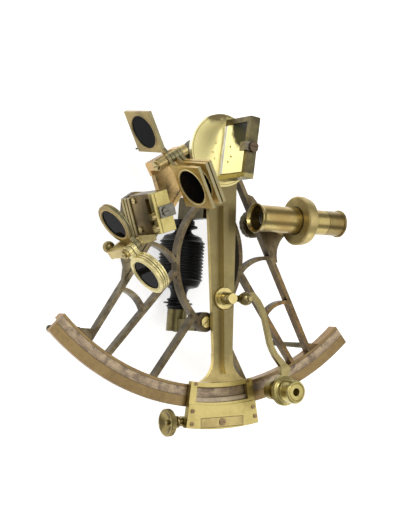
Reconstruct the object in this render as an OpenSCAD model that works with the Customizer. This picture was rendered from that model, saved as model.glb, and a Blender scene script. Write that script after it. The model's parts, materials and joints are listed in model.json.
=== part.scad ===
// Marine sextant of the eight inch pattern, lying on its three feet.
// X runs to the right along the limb's chord, Y runs up to the apex, Z is the
// instrument's front. The origin is where the index pivot's axis meets the
// plane of the feet. Modules draw with z = 0 at the frame's front face.

/* [Arc] */
// Radius of the divided scale
scale_r = 203.2; // [190:0.2:215]
// Limb inside the scale radius
limb_in = 9.5; // [8:0.5:12]
// Limb outside the scale radius
limb_out = 8.8; // [7:0.2:9.4]
// Thickness of the limb's front plate
limb_t = 4.6; // [3:0.2:6]
// Radial width of the limb's back rib
rib_w = 5.2; // [4:0.2:7]
// Depth of the limb's back rib
rib_d = 10.2; // [8:0.2:13]
// Limb's left end, degrees from the centre line
limb_left = 41.9; // [40:0.1:44]
// Limb's right end, degrees from the centre line
limb_right = 45.3; // [43:0.1:48]
// Width of the silver scale strip
inlay_w = 7; // [5:0.5:9]
// Thickness of the silver scale strip
inlay_t = 0.8; // [0.5:0.1:1.2]

/* [Frame] */
// Height of the frame's front face above the table
stand_h = 62; // [58:1:76]
// Depth of the frame casting
frame_d = 7.4; // [6:0.2:9]
// Width of a strut
strut_w = 3.7; // [3:0.1:5]
// Width of a curved brace
brace_w = 3.2; // [2.6:0.1:4.4]
// Distance of the outer legs from the centre at the apex
leg_x = 10.4; // [8:0.2:12]
// Angle at which an outer leg meets the limb
leg_a = 33.8; // [32:0.1:34.6]
// Angle at which an inner strut meets the limb
inner_a = 27.9; // [25:0.1:29]
// Angle at which a foot strut meets the limb
short_a = 13.5; // [12:0.1:15]
// Angle by which the frame's right side is wider than its left
skew = 0.9; // [0:0.1:1.2]
// Mid radius of the two arcs of the centre ring
ring_r = 63; // [60:0.5:66]
// Distance of the ring's arc centres from the centre line
ring_c = 32; // [30:0.5:34]
// Distance of the ring's middle below the pivot
ring_y = 91; // [88:0.5:94]
// Radius of the apex boss
apex_r = 20; // [17:0.5:24]
// Radius of the lower boss
boss_r = 8.2; // [7:0.1:10]
// Distance of the lower boss below the pivot
boss_y = 142; // [140:0.5:144]
// Distance of the upper boss below the pivot
top_boss_y = 42; // [40:0.5:46]

/* [Feet and axis] */
// Radius of a foot's stem
foot_r = 2.5; // [2.2:0.1:3]
// Radius of a foot's ball
foot_ball_r = 3; // [2.6:0.1:3.8]
// Radius of a foot's flat tip
foot_tip_r = 1.8; // [1.4:0.1:2]
// Radius of the index arm's axis
axis_r = 5; // [4:0.1:6]
// Outer radius of the centre bearing
bearing_r = 9; // [8:0.1:10]
// Depth of the centre bearing behind the front face
bearing_d = 30; // [26:0.5:34]

/* [Index arm] */
// Angle of the index arm from the centre line
arm_a = 5.3; // [3:0.1:8]
// Radius of the round head
head_r = 30; // [28:0.5:32]
// Gap between the frame and the arm
arm_gap = 2.5; // [2.3:0.1:3]
// Thickness of the arm
arm_t = 4; // [3:0.2:4.4]
// Width of the arm below the head
arm_w1 = 29; // [26:0.5:31]
// Width of the arm above the vernier
arm_w2 = 18; // [16:0.5:21]
// Height of the arm's centre rib
arm_rib_h = 5; // [3:0.5:5]
// Half angle of the vernier frame
vernier_a = 9; // [8:0.1:10]
// Width of the vernier frame outside the scale radius
vernier_out = 25.8; // [24:0.2:30]
// Thickness of the vernier frame
vernier_t = 5; // [4:0.2:5.4]

/* [Mirrors] */
// Height of the index glass
index_glass_h = 32; // [29:0.5:34]
// Length of the index glass
index_glass_l = 41; // [37:0.5:44]
// Angle of the index glass from the instrument's upright
index_glass_a = -3.5; // [-6:0.1:0]
// Angle of the horizon glass from the instrument's upright
horizon_glass_a = 21.4; // [19:0.1:24]
// Distance of the horizon glass left of the pivot
horizon_x = 75.5; // [75:0.5:76]
// Distance of the horizon glass below the pivot
horizon_y = 61.5; // [61:0.5:62]
// Width of the horizon frame
horizon_w = 32; // [30:0.5:34]
// Height of the horizon frame's top
horizon_h = 45.6; // [44:0.2:48]

/* [Shades] */
// Side of a square index shade
shade_s = 35.6; // [34:0.2:37]
// Radius of an index shade's glass
shade_glass_r = 15; // [13:0.2:15.4]
// Thickness of an index shade
shade_t = 2.8; // [2.4:0.1:3]
// Gap between two index shades' bosses
shade_gap = 0.5; // [0.3:0.1:0.7]
// Distance from the hinge to a shade's centre
shade_arm = 31.8; // [31:0.1:33]
// Outer radius of a horizon shade
round_r = 17; // [16:0.2:17.6]
// Radius of a horizon shade's glass
round_glass_r = 13.6; // [12:0.2:14]
// Thickness of a horizon shade
round_t = 3.8; // [3.2:0.1:4]
// Distance from the hinge to a horizon shade's centre
round_arm = 23.2; // [23:0.1:25]

/* [Telescope] */
// Radius of the telescope's body
scope_r = 11; // [10:0.2:12]
// Height of the telescope's axis above the frame
scope_z = 26; // [25.4:0.2:30]
// Radius of the telescope's collar
collar_r = 20.5; // [19:0.5:20.5]
// Distance of the rising stem right of the pivot
stem_x = 70; // [69:0.5:71]
// Distance of the rising stem below the pivot
stem_y = 51.6; // [51:0.2:53]
// Angle of the telescope's axis to the limb's chord
scope_a = 3; // [0:0.5:4]
// Length from the collar to the objective
scope_front = 46.5; // [40:0.5:48]
// Length from the collar to the eyepiece
scope_back = 42; // [38:0.5:50]
// Radius of the rising stem
stem_r = 4.5; // [4:0.1:5]

/* [Handle] */
// Greatest radius of the handle
grip_r = 19.2; // [16:0.2:20]
// Distance of the handle's axis behind the front face
handle_d = 42; // [40:0.5:43]
// Offset of the handle's axis left of the centre line
handle_x = 1.5; // [0:0.1:2]
// Depth of a rib on the grip
groove_d = 1.2; // [0.6:0.1:1.6]
// Number of ribs on the grip
grooves = 12; // [8:1:14]

/* [Magnifier] */
// Distance of the magnifier's post inside the scale radius
post_in = 81.2; // [78:0.2:84]
// Radius of the magnifier's lens tube
lens_tube_r = 5.8; // [5:0.1:7]
// Radius of the magnifier's drum
drum_r = 12; // [11:0.2:13]
// Length of the magnifier's arm
loupe_reach = 88; // [84:0.5:92]
// Angle of the magnifier from the centre line
loupe_a = 35; // [32:0.5:38]

/* [Slow motion] */
// Radius of the tangent screw
tangent_r = 2.2; // [1.8:0.1:2.4]
// Radius of the tangent screw's knob
tangent_knob_r = 11.2; // [9:0.2:12]

/* [Fits] */
// Radial clearance of a turning or sliding fit
running = 0.04; // [0.02:0.01:0.08]
// Clearance of parts that are fixed together
seat = 0.02; // [0.01:0.01:0.05]
// Gap beside a part that moves
side_gap = 0.3; // [0.2:0.05:0.4]

/* [Hidden] */
$fn = 72;
limb_ri = scale_r - limb_in;
limb_ro = scale_r + limb_out;
eps = 0.01;
arm_z = arm_gap;
arm_top = arm_gap + arm_t;
vernier_z = 0.4;
vernier_ro = scale_r + vernier_out;
post_r = scale_r - post_in;
vernier_top = vernier_z + vernier_t;
window_ri = scale_r - 8.4;
window_ro = scale_r + 4.2;
window_a = vernier_a - 1.8;
tangent_y = limb_ro + 9.6;
tangent_z = -2.6;
bearing_x = floor(tangent_y * tan(vernier_a));
foot_a = 35.8;
lug_a = 37.6;
foot_skew = 0.4;
foot_seat_r = limb_ri - 1.8;
shank_r = 1.3;
horizon_z0 = 11.8;
horizon_shade_z = 23;
horizon_shade_a = 42;
horizon_hinge = [-87.8, -90.2];
index_hinge = [-69.8, -24.9];
index_hinge_a = 33.8;
index_hinge_z = 15;
shade_hinge_r = 4.5;
boss_h = shade_t + 0.5;
shade_pitch = boss_h + shade_gap;
shade_pin_r = 2;
shade_first = 14.6;
shade_down = 52.2;
shade_up = -127.6;
round_hinge_r = 4;
round_pin_r = 1.6;
round_pitch = round_t + 0.5;
round_lug_t = 2.4;
round_lugs = [-1.5 * round_pitch - round_lug_t - 0.1, 1.5 * round_pitch + 0.1];
round_down = 72.5;
round_up = -116;
cover_screw = [-0.5, 5.6 - vernier_ro];
corner_screws = [for (p = [[-29.6, 16], [-30.4, 5.6], [30.4, 16.2], [32.4, 8.4]]) p - [0, vernier_ro]];
mirror_z = arm_top + seat;
mirror_l = index_glass_l + 9;
post_c = [post_r * sin(arm_a), -post_r * cos(arm_a)];
lens_c = post_c + loupe_reach * [sin(loupe_a), -cos(loupe_a)];
elbow_c = post_c + [15.6, 1];
hub_z = [arm_top + 4, arm_top + 12];
link_z = arm_top + arm_rib_h + 0.4;
neck_z = link_z + 5.2;
drum_z = 29;
tube_bore = scope_r - 1.4;
lens_seat = scope_r - 1;
block_in = limb_ro + 2;
block_out = limb_ro + 16;

// A point at radius r, at an angle from the downward centre line.
function polar(r, a) = [r * sin(a), -r * cos(a)];
// The x of an outer leg's centre line at a height y.
function leg_at(y, s) = s * (leg_x + s * skew
    - y * (limb_ri * sin(leg_a + s * skew) - leg_x - s * skew) / (limb_ri * cos(leg_a + s * skew)));

// The middle of a lower foot, s = 1 on the right.
function foot_at(s) = polar(foot_seat_r, s * foot_a + foot_skew);

// Everything drawn in the front face's frame, lifted to stand on its feet.
module lift() { translate([0, 0, stand_h]) children(); }
module up(z) { translate([0, 0, z]) children(); }
module at(p, z = 0) { translate([p[0], p[1], z]) children(); }

// A ring sector between two radii and two polar angles, from z0 to z1.
module sector(ri, ro, a0, a1, z0, z1)
    rotate([0, 0, a0 - 90]) rotate_extrude(angle = a1 - a0, $fn = 180)
        translate([ri, z0]) square([ro - ri, z1 - z0]);

// A flat straight strip from p to q.
module strip(p, q, w)
    translate(p) rotate([0, 0, atan2(q[1] - p[1], q[0] - p[0])])
        translate([0, -w / 2]) square([norm(q - p), w]);

// A flat curved strip about c, with angles measured from +X.
module arc_strip(c, r, w, a0, a1)
    translate(c) intersection() {
        difference() {
            circle(r = r + w / 2, $fn = 180);
            circle(r = r - w / 2, $fn = 180);
        }
        polygon(concat([[0, 0]], [for (a = [a0, (a0 + a1) / 2, a1]) 3 * r * [cos(a), sin(a)]]));
    }

// A straight bar from p to q.
module bar(p, q, w, z0, z1)
    at(p, z0) rotate([0, 0, atan2(q[1] - p[1], q[0] - p[0])])
        translate([0, -w / 2, 0]) cube([norm(q - p), w, z1 - z0]);

module disc(r, z0, z1) up(z0) cylinder(r = r, h = z1 - z0);

// Local z lies along a line in the plate at angle a, local x points up.
module along(p, a, z) at(p, z) rotate([0, 90, a]) rotate([0, 0, 180]) children();

// A screw with a slotted cheese head, pointing down.
module slotted(r_head, h_head, r_shank, l_shank) {
    difference() {
        cylinder(r = r_head, h = h_head);
        translate([-r_head, -r_head * 0.12, h_head * 0.45]) cube([2 * r_head, r_head * 0.24, h_head]);
    }
    up(-l_shank) cylinder(r = r_shank, h = l_shank + eps);
}

// ---------------------------------------------------------------- frame
module limb() {
    lift() color([0.52, 0.40, 0.24]) difference() {
        union() {
            sector(limb_ri, limb_ro, -limb_left, limb_right, -limb_t, 0);
            sector(limb_ri, limb_ri + rib_w, -limb_left, limb_right, -rib_d, -limb_t + eps);
        }
        sector(scale_r - inlay_w - seat, scale_r + seat, -limb_left - 1, limb_right + 1, -inlay_t, 1);
    }
}

module scale_inlay() {
    lift() color([0.55, 0.50, 0.52])
        sector(scale_r - inlay_w, scale_r, -limb_left, limb_right, -inlay_t, 0);
}

// Outline of one side's straight struts and foot lug, s = 1 on the right.
module side_struts(s) {
    leg_end = -limb_ri * cos(leg_a) - 3;
    lug = polar(limb_ri, s * lug_a + foot_skew);
    strip([leg_at(0, s), 0], [leg_at(leg_end, s), leg_end], strut_w);
    strip([s * (ring_r - ring_c), s * 3 - ring_y - 9], polar(limb_ri + 3, s * (inner_a + s * skew)), strut_w);
    strip([s * 10.4, 4.4 - boss_y], polar(limb_ri + 3, s * short_a), strut_w);
    polygon([[leg_at(lug[1], s), lug[1]], lug, lug + [s * 3, 0], polar(limb_ri + 5, s * foot_a),
        polar(limb_ri + 3, s * (leg_a + s * skew))]);
}

// The lens shape of the centre ring, its edge moved out by w.
module ring_lens(w)
    intersection() {
        translate([ring_c, -ring_y]) circle(r = ring_r + w);
        translate([-ring_c, -ring_y]) circle(r = ring_r + w);
    }

// Local z is the axis of the knob at the left edge.
module knob_local() translate([-80.6, -92.4, -6.4]) rotate([0, -90, -15]) children();

// Outline of the open lattice, at the frame's full depth.
module lattice() {
    for (s = [-1, 1]) side_struts(s);
    // curved braces between the struts
    arc_strip([61, -119], 35.5, brace_w, 84, 142);
    arc_strip([82.5, -143.8], 24.5, brace_w, 85, 152);
    arc_strip([-60, -118], 35.5, brace_w, 40, 88);
    arc_strip([-83, -147], 26, brace_w, 24, 86);
    difference() {
        ring_lens(strut_w / 2);
        ring_lens(-strut_w / 2);
    }
    circle(r = apex_r);
    strip([0, 0], [0, -top_boss_y], 14);
    for (y = [-top_boss_y, -boss_y]) translate([0, y]) circle(r = boss_r);
}

// Outline of the thinner plates that carry the optics.
module plates() {
    // plate for the telescope's socket
    difference() {
        polygon([[leg_at(-31, 1) - 1, -31], [39.2, -33], [45.4, -38.6], [50, -42.2], [62, -44],
            [84, -57], [80, -80], [66, -88], [leg_at(-93, 1), -93]]);
        translate([89.5, -78.5]) circle(r = 21);
    }
    translate([stem_x, -stem_y]) circle(r = 11);
    // plate for the horizon glass and its shades
    polygon([[leg_at(-38, -1) + 1, -38], [-76, -43.5], [-84.5, -50], [-84.5, -60], [-80.5, -78],
        [-80.5, -88], [-81, -97], [-78.5, -104], [-79, -112], [leg_at(-118, -1), -118]]);
    // ear for the index shades
    polygon([[leg_at(-8, -1), -8], [-20, -2], [-42, -4], [-60, -15.5], [-62, -20],
        [-52, -42], [-44, -56], [leg_at(-62, -1), -62]]);
}

// Holes for the bearing, screws, feet and socket.
module frame_holes() {
    circle(r = bearing_r + seat);
    for (y = [-top_boss_y, -boss_y]) translate([0, y]) circle(r = 2.5 + seat);
    translate([stem_x, -stem_y]) circle(r = 7.5 + seat);
}

module frame() {
    lift() color([0.48, 0.35, 0.20]) {
        difference() {
            up(-frame_d) linear_extrude(frame_d) difference() {
                intersection() {
                    lattice();
                    circle(r = limb_ri - seat, $fn = 180);
                }
                frame_holes();
            }
            for (s = [-1, 1]) at(foot_at(s)) disc(shank_r + seat, -frame_d - 1, -1.8);
        }
        difference() {
            up(1 - frame_d) linear_extrude(frame_d - 2) difference() {
                plates();
                frame_holes();
            }
            knob_local() cylinder(r = 5.6, h = 10);
        }
        knob_local() up(-15) cylinder(r = 3.6, h = 15);
    }
}

module foot_profile(top)
    rotate_extrude() polygon(concat(
        [[0, -stand_h], [foot_tip_r, -stand_h]],
        [for (a = [-45:15:50]) [foot_ball_r * cos(a), foot_ball_r * sin(a) - stand_h + foot_ball_r * 0.8]],
        [[foot_r * 0.8, -stand_h + 11], [foot_r, top - 6], [foot_r + 0.3, top - 3.4], [foot_r + 0.3, top],
         [0, top]]));

module lower_feet() {
    lift() color([0.62, 0.50, 0.26]) for (s = [-1, 1]) at(foot_at(s)) {
        foot_profile(-rib_d - seat);
        disc(shank_r, -rib_d - seat - eps, -2);
    }
}

module centre_bearing() {
    lift() color([0.66, 0.54, 0.30]) difference() {
        union() {
            disc(bearing_r, -bearing_d, 0);
            disc(14, -frame_d - 3, -frame_d);
        }
        disc(axis_r + running, -bearing_d - 1, 1);
    }
}

// Cap over the axis nut, with the foot at the apex.
module apex_foot() {
    cup_z = -frame_d - 3;
    cup_end = -bearing_d - 10;
    lift() color([0.62, 0.50, 0.26]) rotate_extrude() polygon(concat(
        [[0, -stand_h], [foot_tip_r, -stand_h]],
        [for (a = [-45:15:50]) [foot_ball_r * cos(a), foot_ball_r * sin(a) - stand_h + foot_ball_r * 0.8]],
        [[foot_r, -stand_h + 10], [foot_r + 0.6, cup_end - 3], [9, cup_end], [13, cup_end + 4],
         [13, cup_z - 3], [14, cup_z - 3], [14, cup_z], [11, cup_z], [11, cup_end + 4], [9, cup_end + 2.4],
         [0, cup_end + 2.4]]));
}

// A bracket's boss on the frame, and its arm back to the handle's axis.
module handle_bracket(y_boss, y0, y1, w, end) {
    translate([-handle_x - w / 2, y0, -handle_d - end]) cube([w, y1 - y0, handle_d + end - frame_d]);
    at([0, y_boss]) disc(boss_r - 0.4, -frame_d - 5, -frame_d);
}

// Bores of a bracket for the handle's rod and the frame's screw.
module bracket_bores(y_boss, y0, y1) {
    translate([-handle_x, y0 - 1, -handle_d]) rotate([-90, 0, 0]) cylinder(r = 2.5 + seat, h = y1 - y0 + 2);
    at([0, y_boss]) disc(2.5 + seat, -21, -frame_d + 1);
}

module handle_bracket_top() {
    lift() color([0.30, 0.26, 0.16]) difference() {
        handle_bracket(-top_boss_y, -56.2, -37.4, 7.4, 4.4);
        bracket_bores(-top_boss_y, -56.2, -37.4);
    }
}

// The lower bracket ends in a plain ferrule round the rod.
module handle_bracket_bottom() {
    lift() color([0.60, 0.48, 0.24]) difference() {
        union() {
            handle_bracket(-boss_y, -149.8, -140.6, 8, 0);
            translate([-handle_x, -151, -handle_d]) rotate([-90, 0, 0]) cylinder(r = 8.6, h = 18.4);
        }
        bracket_bores(-boss_y, -151, -132.6);
    }
}

// Turned ebony grip. Its axis runs along Y.
module handle() {
    body_top = -70;
    body_bottom = -112;
    pitch = (body_top - body_bottom - 8) / grooves;
    r0 = grip_r - groove_d;
    lift() color([0.05, 0.045, 0.045]) translate([-handle_x, 0, -handle_d]) rotate([-90, 0, 0]) difference() {
        rotate_extrude() polygon(concat(
            [[2.5 + seat, -132.5], [8.6, -132.5], [9, -130.8], [9.8, -130.2], [9.8, -129.2], [8.4, -128.6],
             [8.6, -128.1], [12.4, -127.8], [12.4, -126.6], [8.6, -126.2], [8.4, -125.7], [9.8, -125],
             [9.8, -124], [7.6, -123], [7, -119], [8, -115.5], [13, body_bottom - 1.6],
             [r0 - 1, body_bottom + 1.6]],
            [for (i = [0:grooves - 1], k = [0:3])
                [r0 + (k == 1 || k == 2 ? groove_d : 0),
                 body_bottom + 4 + (i + [0.12, 0.34, 0.72, 0.94][k]) * pitch]],
            [[r0 - 1.2, body_top - 2.6], [14, body_top + 0.6], [8.4, body_top + 2.4], [7, body_top + 4.4],
             [8, -64], [12, -62.6], [12, -61], [9.6, -60.4], [9.6, -58.4], [9, -56.3], [2.5 + seat, -56.3]]));
    }
}

module handle_rod() {
    lift() color([0.60, 0.50, 0.28]) translate([-handle_x, 0, -handle_d]) rotate([-90, 0, 0]) {
        up(-151.6) cylinder(r = 2.5, h = 151.6 - 40);
    }
}

module frame_screws() {
    lift() color([0.70, 0.58, 0.32]) for (y = [-top_boss_y, -boss_y]) at([0, y])
        rotate([0, 0, 40]) slotted(4.6, 1.6, 2.5, 20);
}

// ---------------------------------------------------------------- index shades
module index_shade_bracket() {
    lug_a = [3.6, shade_first - 2.2];
    lug_b = [shade_first + 3 * shade_pitch + shade_t / 2 + 0.8, 34];
    lift() color([0.72, 0.62, 0.36]) difference() {
        union() {
            along(index_hinge, index_hinge_a, 0)
                translate([-1, -2.5, lug_a[0]]) cube([3.6, 10.5, lug_b[1] - lug_a[0]]);
            for (l = [lug_a, lug_b]) {
                along(index_hinge, index_hinge_a, 0)
                    translate([0, -3.6, l[0]]) cube([index_hinge_z, 7.2, l[1] - l[0]]);
                along(index_hinge, index_hinge_a, index_hinge_z)
                    up(l[0]) cylinder(r = shade_hinge_r, h = l[1] - l[0]);
            }
        }
        along(index_hinge, index_hinge_a, index_hinge_z)
            up(-1) cylinder(r = shade_pin_r + seat, h = 50);
    }
}

// Both hinge pins, each with a slotted head.
module shade_pins() {
    lift() color([0.62, 0.54, 0.34]) {
        along(index_hinge, index_hinge_a, index_hinge_z) {
            up(3.5) cylinder(r = shade_pin_r, h = 31);
            up(3.6 - seat) rotate([180, 0, 0]) slotted(3.6, 2, shade_pin_r, 1);
        }
        along(horizon_hinge, horizon_shade_a, horizon_shade_z) {
            up(round_lugs[0] - 0.1) cylinder(r = round_pin_r, h = round_lugs[1] - round_lugs[0] + 4);
            up(round_lugs[0] - seat) rotate([180, 0, 0]) slotted(3, 1.6, round_pin_r, 1);
        }
    }
}

// Square shade: the hinge is the local z axis, the shade reaches along x.
module square_shade() {
    corner = shade_s / sqrt(2);
    neck = shade_arm - corner + 2.6;
    difference() {
        union() {
            linear_extrude(shade_t) polygon([[0, -2.6], [neck, -2.6], [shade_arm, -corner],
                [shade_arm + corner, 0], [shade_arm, corner], [neck, 2.6], [0, 2.6]]);
            cylinder(r = shade_hinge_r, h = boss_h);
        }
        up(-1) cylinder(r = shade_pin_r + running, h = 6);
        translate([shade_arm, 0, -1]) cylinder(r = shade_glass_r - 0.8, h = 6);
        translate([shade_arm, 0, 0.7]) cylinder(r = shade_glass_r + seat, h = 6);
    }
}

module square_filter()
    translate([shade_arm, 0, 0.7]) cylinder(r = shade_glass_r, h = shade_t - 1);

module index_place(i)
    along(index_hinge, index_hinge_a, index_hinge_z)
        up(shade_first + (i - 1) * shade_pitch - shade_t / 2)
            rotate([0, 0, i == 2 ? shade_up : shade_down]) children();

module index_shade(i) { lift() color([0.76, 0.64, 0.34]) index_place(i) square_shade(); }
module index_filter(i) { lift() color([0.04, 0.05, 0.09]) index_place(i) square_filter(); }

// ---------------------------------------------------------------- horizon glass
// Local x is the glass's normal, local y runs along the glass.
module horizon_local(z = 0)
    at([-horizon_x, -horizon_y], z) rotate([0, 0, horizon_glass_a]) children();

module horizon_base() {
    lift() color([0.70, 0.60, 0.34]) horizon_local() {
        for (z = [-1, 3.6, 8.2]) translate([-8, -24, z]) cube([16, 38, 3.6]);
        translate([-7, -23, -1]) cube([14, 36, 12.8]);
    }
}

module horizon_frame() {
    z0 = horizon_z0 + seat;
    zt = horizon_h - 6;
    hw = horizon_w / 2;
    lift() color([0.66, 0.52, 0.26]) horizon_local() difference() {
        translate([-7, -hw, z0]) cube([14, horizon_w, zt - z0]);
        // window of the clear half, seat of the glass, open reflecting side
        translate([-8, -hw + 4, 33.8]) cube([16, horizon_w - 8, 20]);
        translate([-1.3 - seat, -hw + 2.6, z0 + 2]) cube([2.6 + 2 * seat, horizon_w - 5.2, 60]);
        translate([0, -hw + 4, z0 + 4]) cube([20, horizon_w - 8, 60]);
        for (y = [-hw + 4.4, hw - 4.4]) translate([-8, y, 17.6]) rotate([0, 90, 0]) cylinder(r = 1, h = 5);
    }
}

module horizon_glass() {
    z0 = horizon_z0 + seat + 2;
    lift() color([0.62, 0.66, 0.68]) horizon_local()
        translate([-1.3, -horizon_w / 2 + 2.6 + seat, z0])
            cube([2.6, horizon_w - 5.2 - 2 * seat, horizon_h - 6 - z0 - seat]);
}

module horizon_cap() {
    lift() color([0.74, 0.68, 0.42]) horizon_local() difference() {
        translate([-7.2, -horizon_w / 2, horizon_h - 6 + seat]) cube([14.4, horizon_w, 6 - seat]);
        translate([-8, -horizon_w / 2 - 1, horizon_h - 0.8]) cube([3.4, horizon_w + 2, 2]);
        translate([1, 0, horizon_h - 5]) cylinder(r = 1.5 + seat, h = 8);
    }
}

module horizon_clip() {
    lift() color([0.60, 0.60, 0.62]) horizon_local() difference() {
        union() {
            translate([-4.4, -4.6, horizon_h + seat]) cube([13.8, 9.2, 1.4]);
            translate([7.2 + seat, -4.6, horizon_h - 5]) cube([2.2, 9.2, 6.2]);
            translate([1, 0, horizon_h + 1.4]) cylinder(r = 3.4, h = 1.6);
            translate([1, 0, horizon_h - 4.8]) cylinder(r = 1.5, h = 6);
        }
        translate([-3, -0.5, horizon_h + 2]) cube([8, 1, 3]);
    }
}

// Small screws of the horizon glass, with the two adjusters at the back.
module horizon_screws() {
    hw = horizon_w / 2;
    lift() color([0.50, 0.42, 0.28]) horizon_local() {
        for (y = [-hw + 4.4, hw - 4.4]) translate([-7 - seat, y, 17.6]) rotate([0, -90, 0])
            slotted(2.3, 1, 0.9, 2.5);
        translate([-7.2 - seat, -2, horizon_h - 3.4]) rotate([0, -90, 0]) cylinder(r = 2.9, h = 3.6);
        translate([-7.2 - seat, -11, horizon_h - 3.2]) rotate([0, -90, 0]) cylinder(r = 3, h = 2.6);
    }
}

// ---------------------------------------------------------------- horizon shades
module horizon_shade_bracket() {
    lift() color([0.70, 0.58, 0.30]) difference() {
        union() {
            along(horizon_hinge, horizon_shade_a, 0)
                translate([-1, -3.4, round_lugs[0]])
                    cube([2.6, 7.4, round_lugs[1] - round_lugs[0] + round_lug_t]);
            for (e = round_lugs) {
                along(horizon_hinge, horizon_shade_a, 0)
                    translate([0, -3.2, e]) cube([horizon_shade_z, 6.4, round_lug_t]);
                along(horizon_hinge, horizon_shade_a, horizon_shade_z)
                    up(e) cylinder(r = round_hinge_r, h = round_lug_t);
            }
        }
        along(horizon_hinge, horizon_shade_a, horizon_shade_z)
            up(-20) cylinder(r = round_pin_r + seat, h = 40);
    }
}

module round_shade() {
    difference() {
        union() {
            translate([round_arm, 0, 0]) difference() {
                cylinder(r = round_r, h = round_t);
                rotate_extrude() translate([round_r - 0.8, round_t / 2 - 0.35]) square([2, 0.7]);
            }
            translate([0, -2.8, 0]) cube([round_arm - round_r + 1.5, 5.6, round_t]);
            cylinder(r = round_hinge_r, h = round_t);
        }
        up(-1) cylinder(r = round_pin_r + running, h = 8);
        translate([round_arm, 0, -1]) cylinder(r = round_glass_r - 0.8, h = 8);
        translate([round_arm, 0, 0.9]) cylinder(r = round_glass_r + seat, h = 8);
    }
}

module round_filter()
    translate([round_arm, 0, 0.9]) cylinder(r = round_glass_r, h = round_t - 1.6);

module horizon_place(i)
    along(horizon_hinge, horizon_shade_a, horizon_shade_z)
        up((i - 2) * round_pitch - round_t / 2)
            rotate([0, 0, i == 3 ? round_up : round_down]) children();

module horizon_shade(i) { lift() color([0.78, 0.66, 0.34]) horizon_place(i) round_shade(); }
module horizon_filter(i) { lift() color([0.05, 0.05, 0.08]) horizon_place(i) round_filter(); }

// Turned knob on the edge of the plate, beside the horizon shades.
module shade_knob() {
    lift() color([0.66, 0.52, 0.28]) knob_local() rotate_extrude() polygon(concat(
        [[0, 0], [5.2, 0], [5.2, 1.4], [3, 2], [3, 3], [4.4, 3.6], [4.4, 4.8], [2.6, 5.6]],
        [for (a = [-58:12:86]) [5 * cos(a), 11.5 + 5 * sin(a)]], [[0, 16.5]]));
}

// ---------------------------------------------------------------- index arm
module arm_local() rotate([0, 0, arm_a]) children();

module index_arm() {
    y1 = -24;
    y2 = 18 - limb_ri;
    lift() color([0.72, 0.64, 0.36]) arm_local() difference() {
        union() {
            up(arm_z) linear_extrude(arm_t) {
                circle(r = head_r);
                polygon([[-arm_w1 / 2, y1], [arm_w1 / 2, y1], [arm_w2 / 2, y2], [arm_w2 / 2, y2 - 6],
                    [-arm_w2 / 2, y2 - 6], [-arm_w2 / 2, y2]]);
                // flare to the vernier frame, hollowed on both sides
                difference() {
                    rotate(-90) arc_strip([0, 0], limb_ri - 14.5, 23, -vernier_a, vernier_a);
                    for (s = [-1, 1]) translate([s * (arm_w2 / 2 + 19.6), 22 - limb_ri]) circle(r = 19);
                }
            }
            // centre rib with a pointed foot
            up(arm_top - eps) linear_extrude(arm_rib_h) polygon([[-2.6, -46], [2.6, -46], [2.2, y2 - 2],
                [0.6, y2 - 8], [-0.6, y2 - 8], [-2.2, y2 - 2]]);
        }
        disc(axis_r + seat, arm_z - 1, arm_top + 1);
        // seat of the magnifier's post
        at([0, -post_r]) disc(9.2, arm_top, arm_top + arm_rib_h + 1);
        for (p = [[-6.5, 5.6], [-9.5, -2.1], [-8, -7.4]]) at(p) disc(0.9, arm_top - 1.2, arm_top + 1);
    }
}

module centre_axis() {
    lift() color([0.64, 0.54, 0.32]) {
        disc(axis_r, -bearing_d - 5, arm_top);
        disc(12, vernier_z, arm_z);
    }
}

module axis_nut() {
    lift() color([0.55, 0.46, 0.26]) difference() {
        up(-bearing_d - 4.6) cylinder(r = 8.6, h = 4.3, $fn = 6);
        disc(axis_r + seat, -bearing_d - 6, -bearing_d);
    }
}

// Sector plate with the window over the scale.
module vernier_frame() {
    lift() color([0.76, 0.68, 0.38]) arm_local() difference() {
        union() {
            sector(limb_ri - 2.6, vernier_ro, -vernier_a, vernier_a, vernier_z, vernier_top - 0.8);
            sector(window_ro + 2.2, vernier_ro, -vernier_a, vernier_a, vernier_z, vernier_top);
            sector(limb_ri - 16, limb_ri - 2, -2.6, 2.6, vernier_z, arm_z - seat);
            // bearing of the tangent screw, behind the lower left corner
            translate([-bearing_x, -tangent_y - 4, tangent_z - 4])
                cube([4, 8, 5 - tangent_z + vernier_z]);
        }
        sector(window_ri, window_ro, -window_a, window_a, vernier_z - 1, vernier_top + 1);
        translate([-21.6, -vernier_ro + 1.7, vernier_top - 1.6]) cube([41.8, 7.8, 3]);
        translate([-bearing_x - 5, -tangent_y, tangent_z]) rotate([0, 90, 0])
            cylinder(r = tangent_r + running, h = 12);
        at(cover_screw) disc(1.3 + seat, vernier_z - 1, 6);
        for (p = corner_screws) at(p) disc(0.8 + seat, vernier_z - 1, 6);
        for (s = [-1, 1]) at(polar(limb_ri - 0.8, s * 7.6)) disc(0.8 + seat, vernier_z - 1, 6);
    }
}

module vernier_scale() {
    lift() color([0.62, 0.58, 0.58]) arm_local()
        sector(scale_r + 0.3, window_ro - seat, 0.02 - window_a, window_a - 0.02, vernier_z, vernier_z + 1.6);
}

module arm_screws() {
    lift() color([0.62, 0.50, 0.28]) arm_local() {
        at(cover_screw, vernier_top + seat) slotted(3, 0.8, 1.3, 3);
        for (p = corner_screws) at(p, vernier_top) slotted(1.8, 0.7, 0.8, 3);
        for (s = [-1, 1]) at(polar(limb_ri - 0.8, s * 7.6), vernier_top - 0.8) slotted(1.5, 0.7, 0.8, 3);
        mirror_in_arm() for (y = [-9, 9]) translate([12.4, y, mirror_z + 2.4]) slotted(2.4, 0.9, 1.4, 1.9);
    }
}

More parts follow.
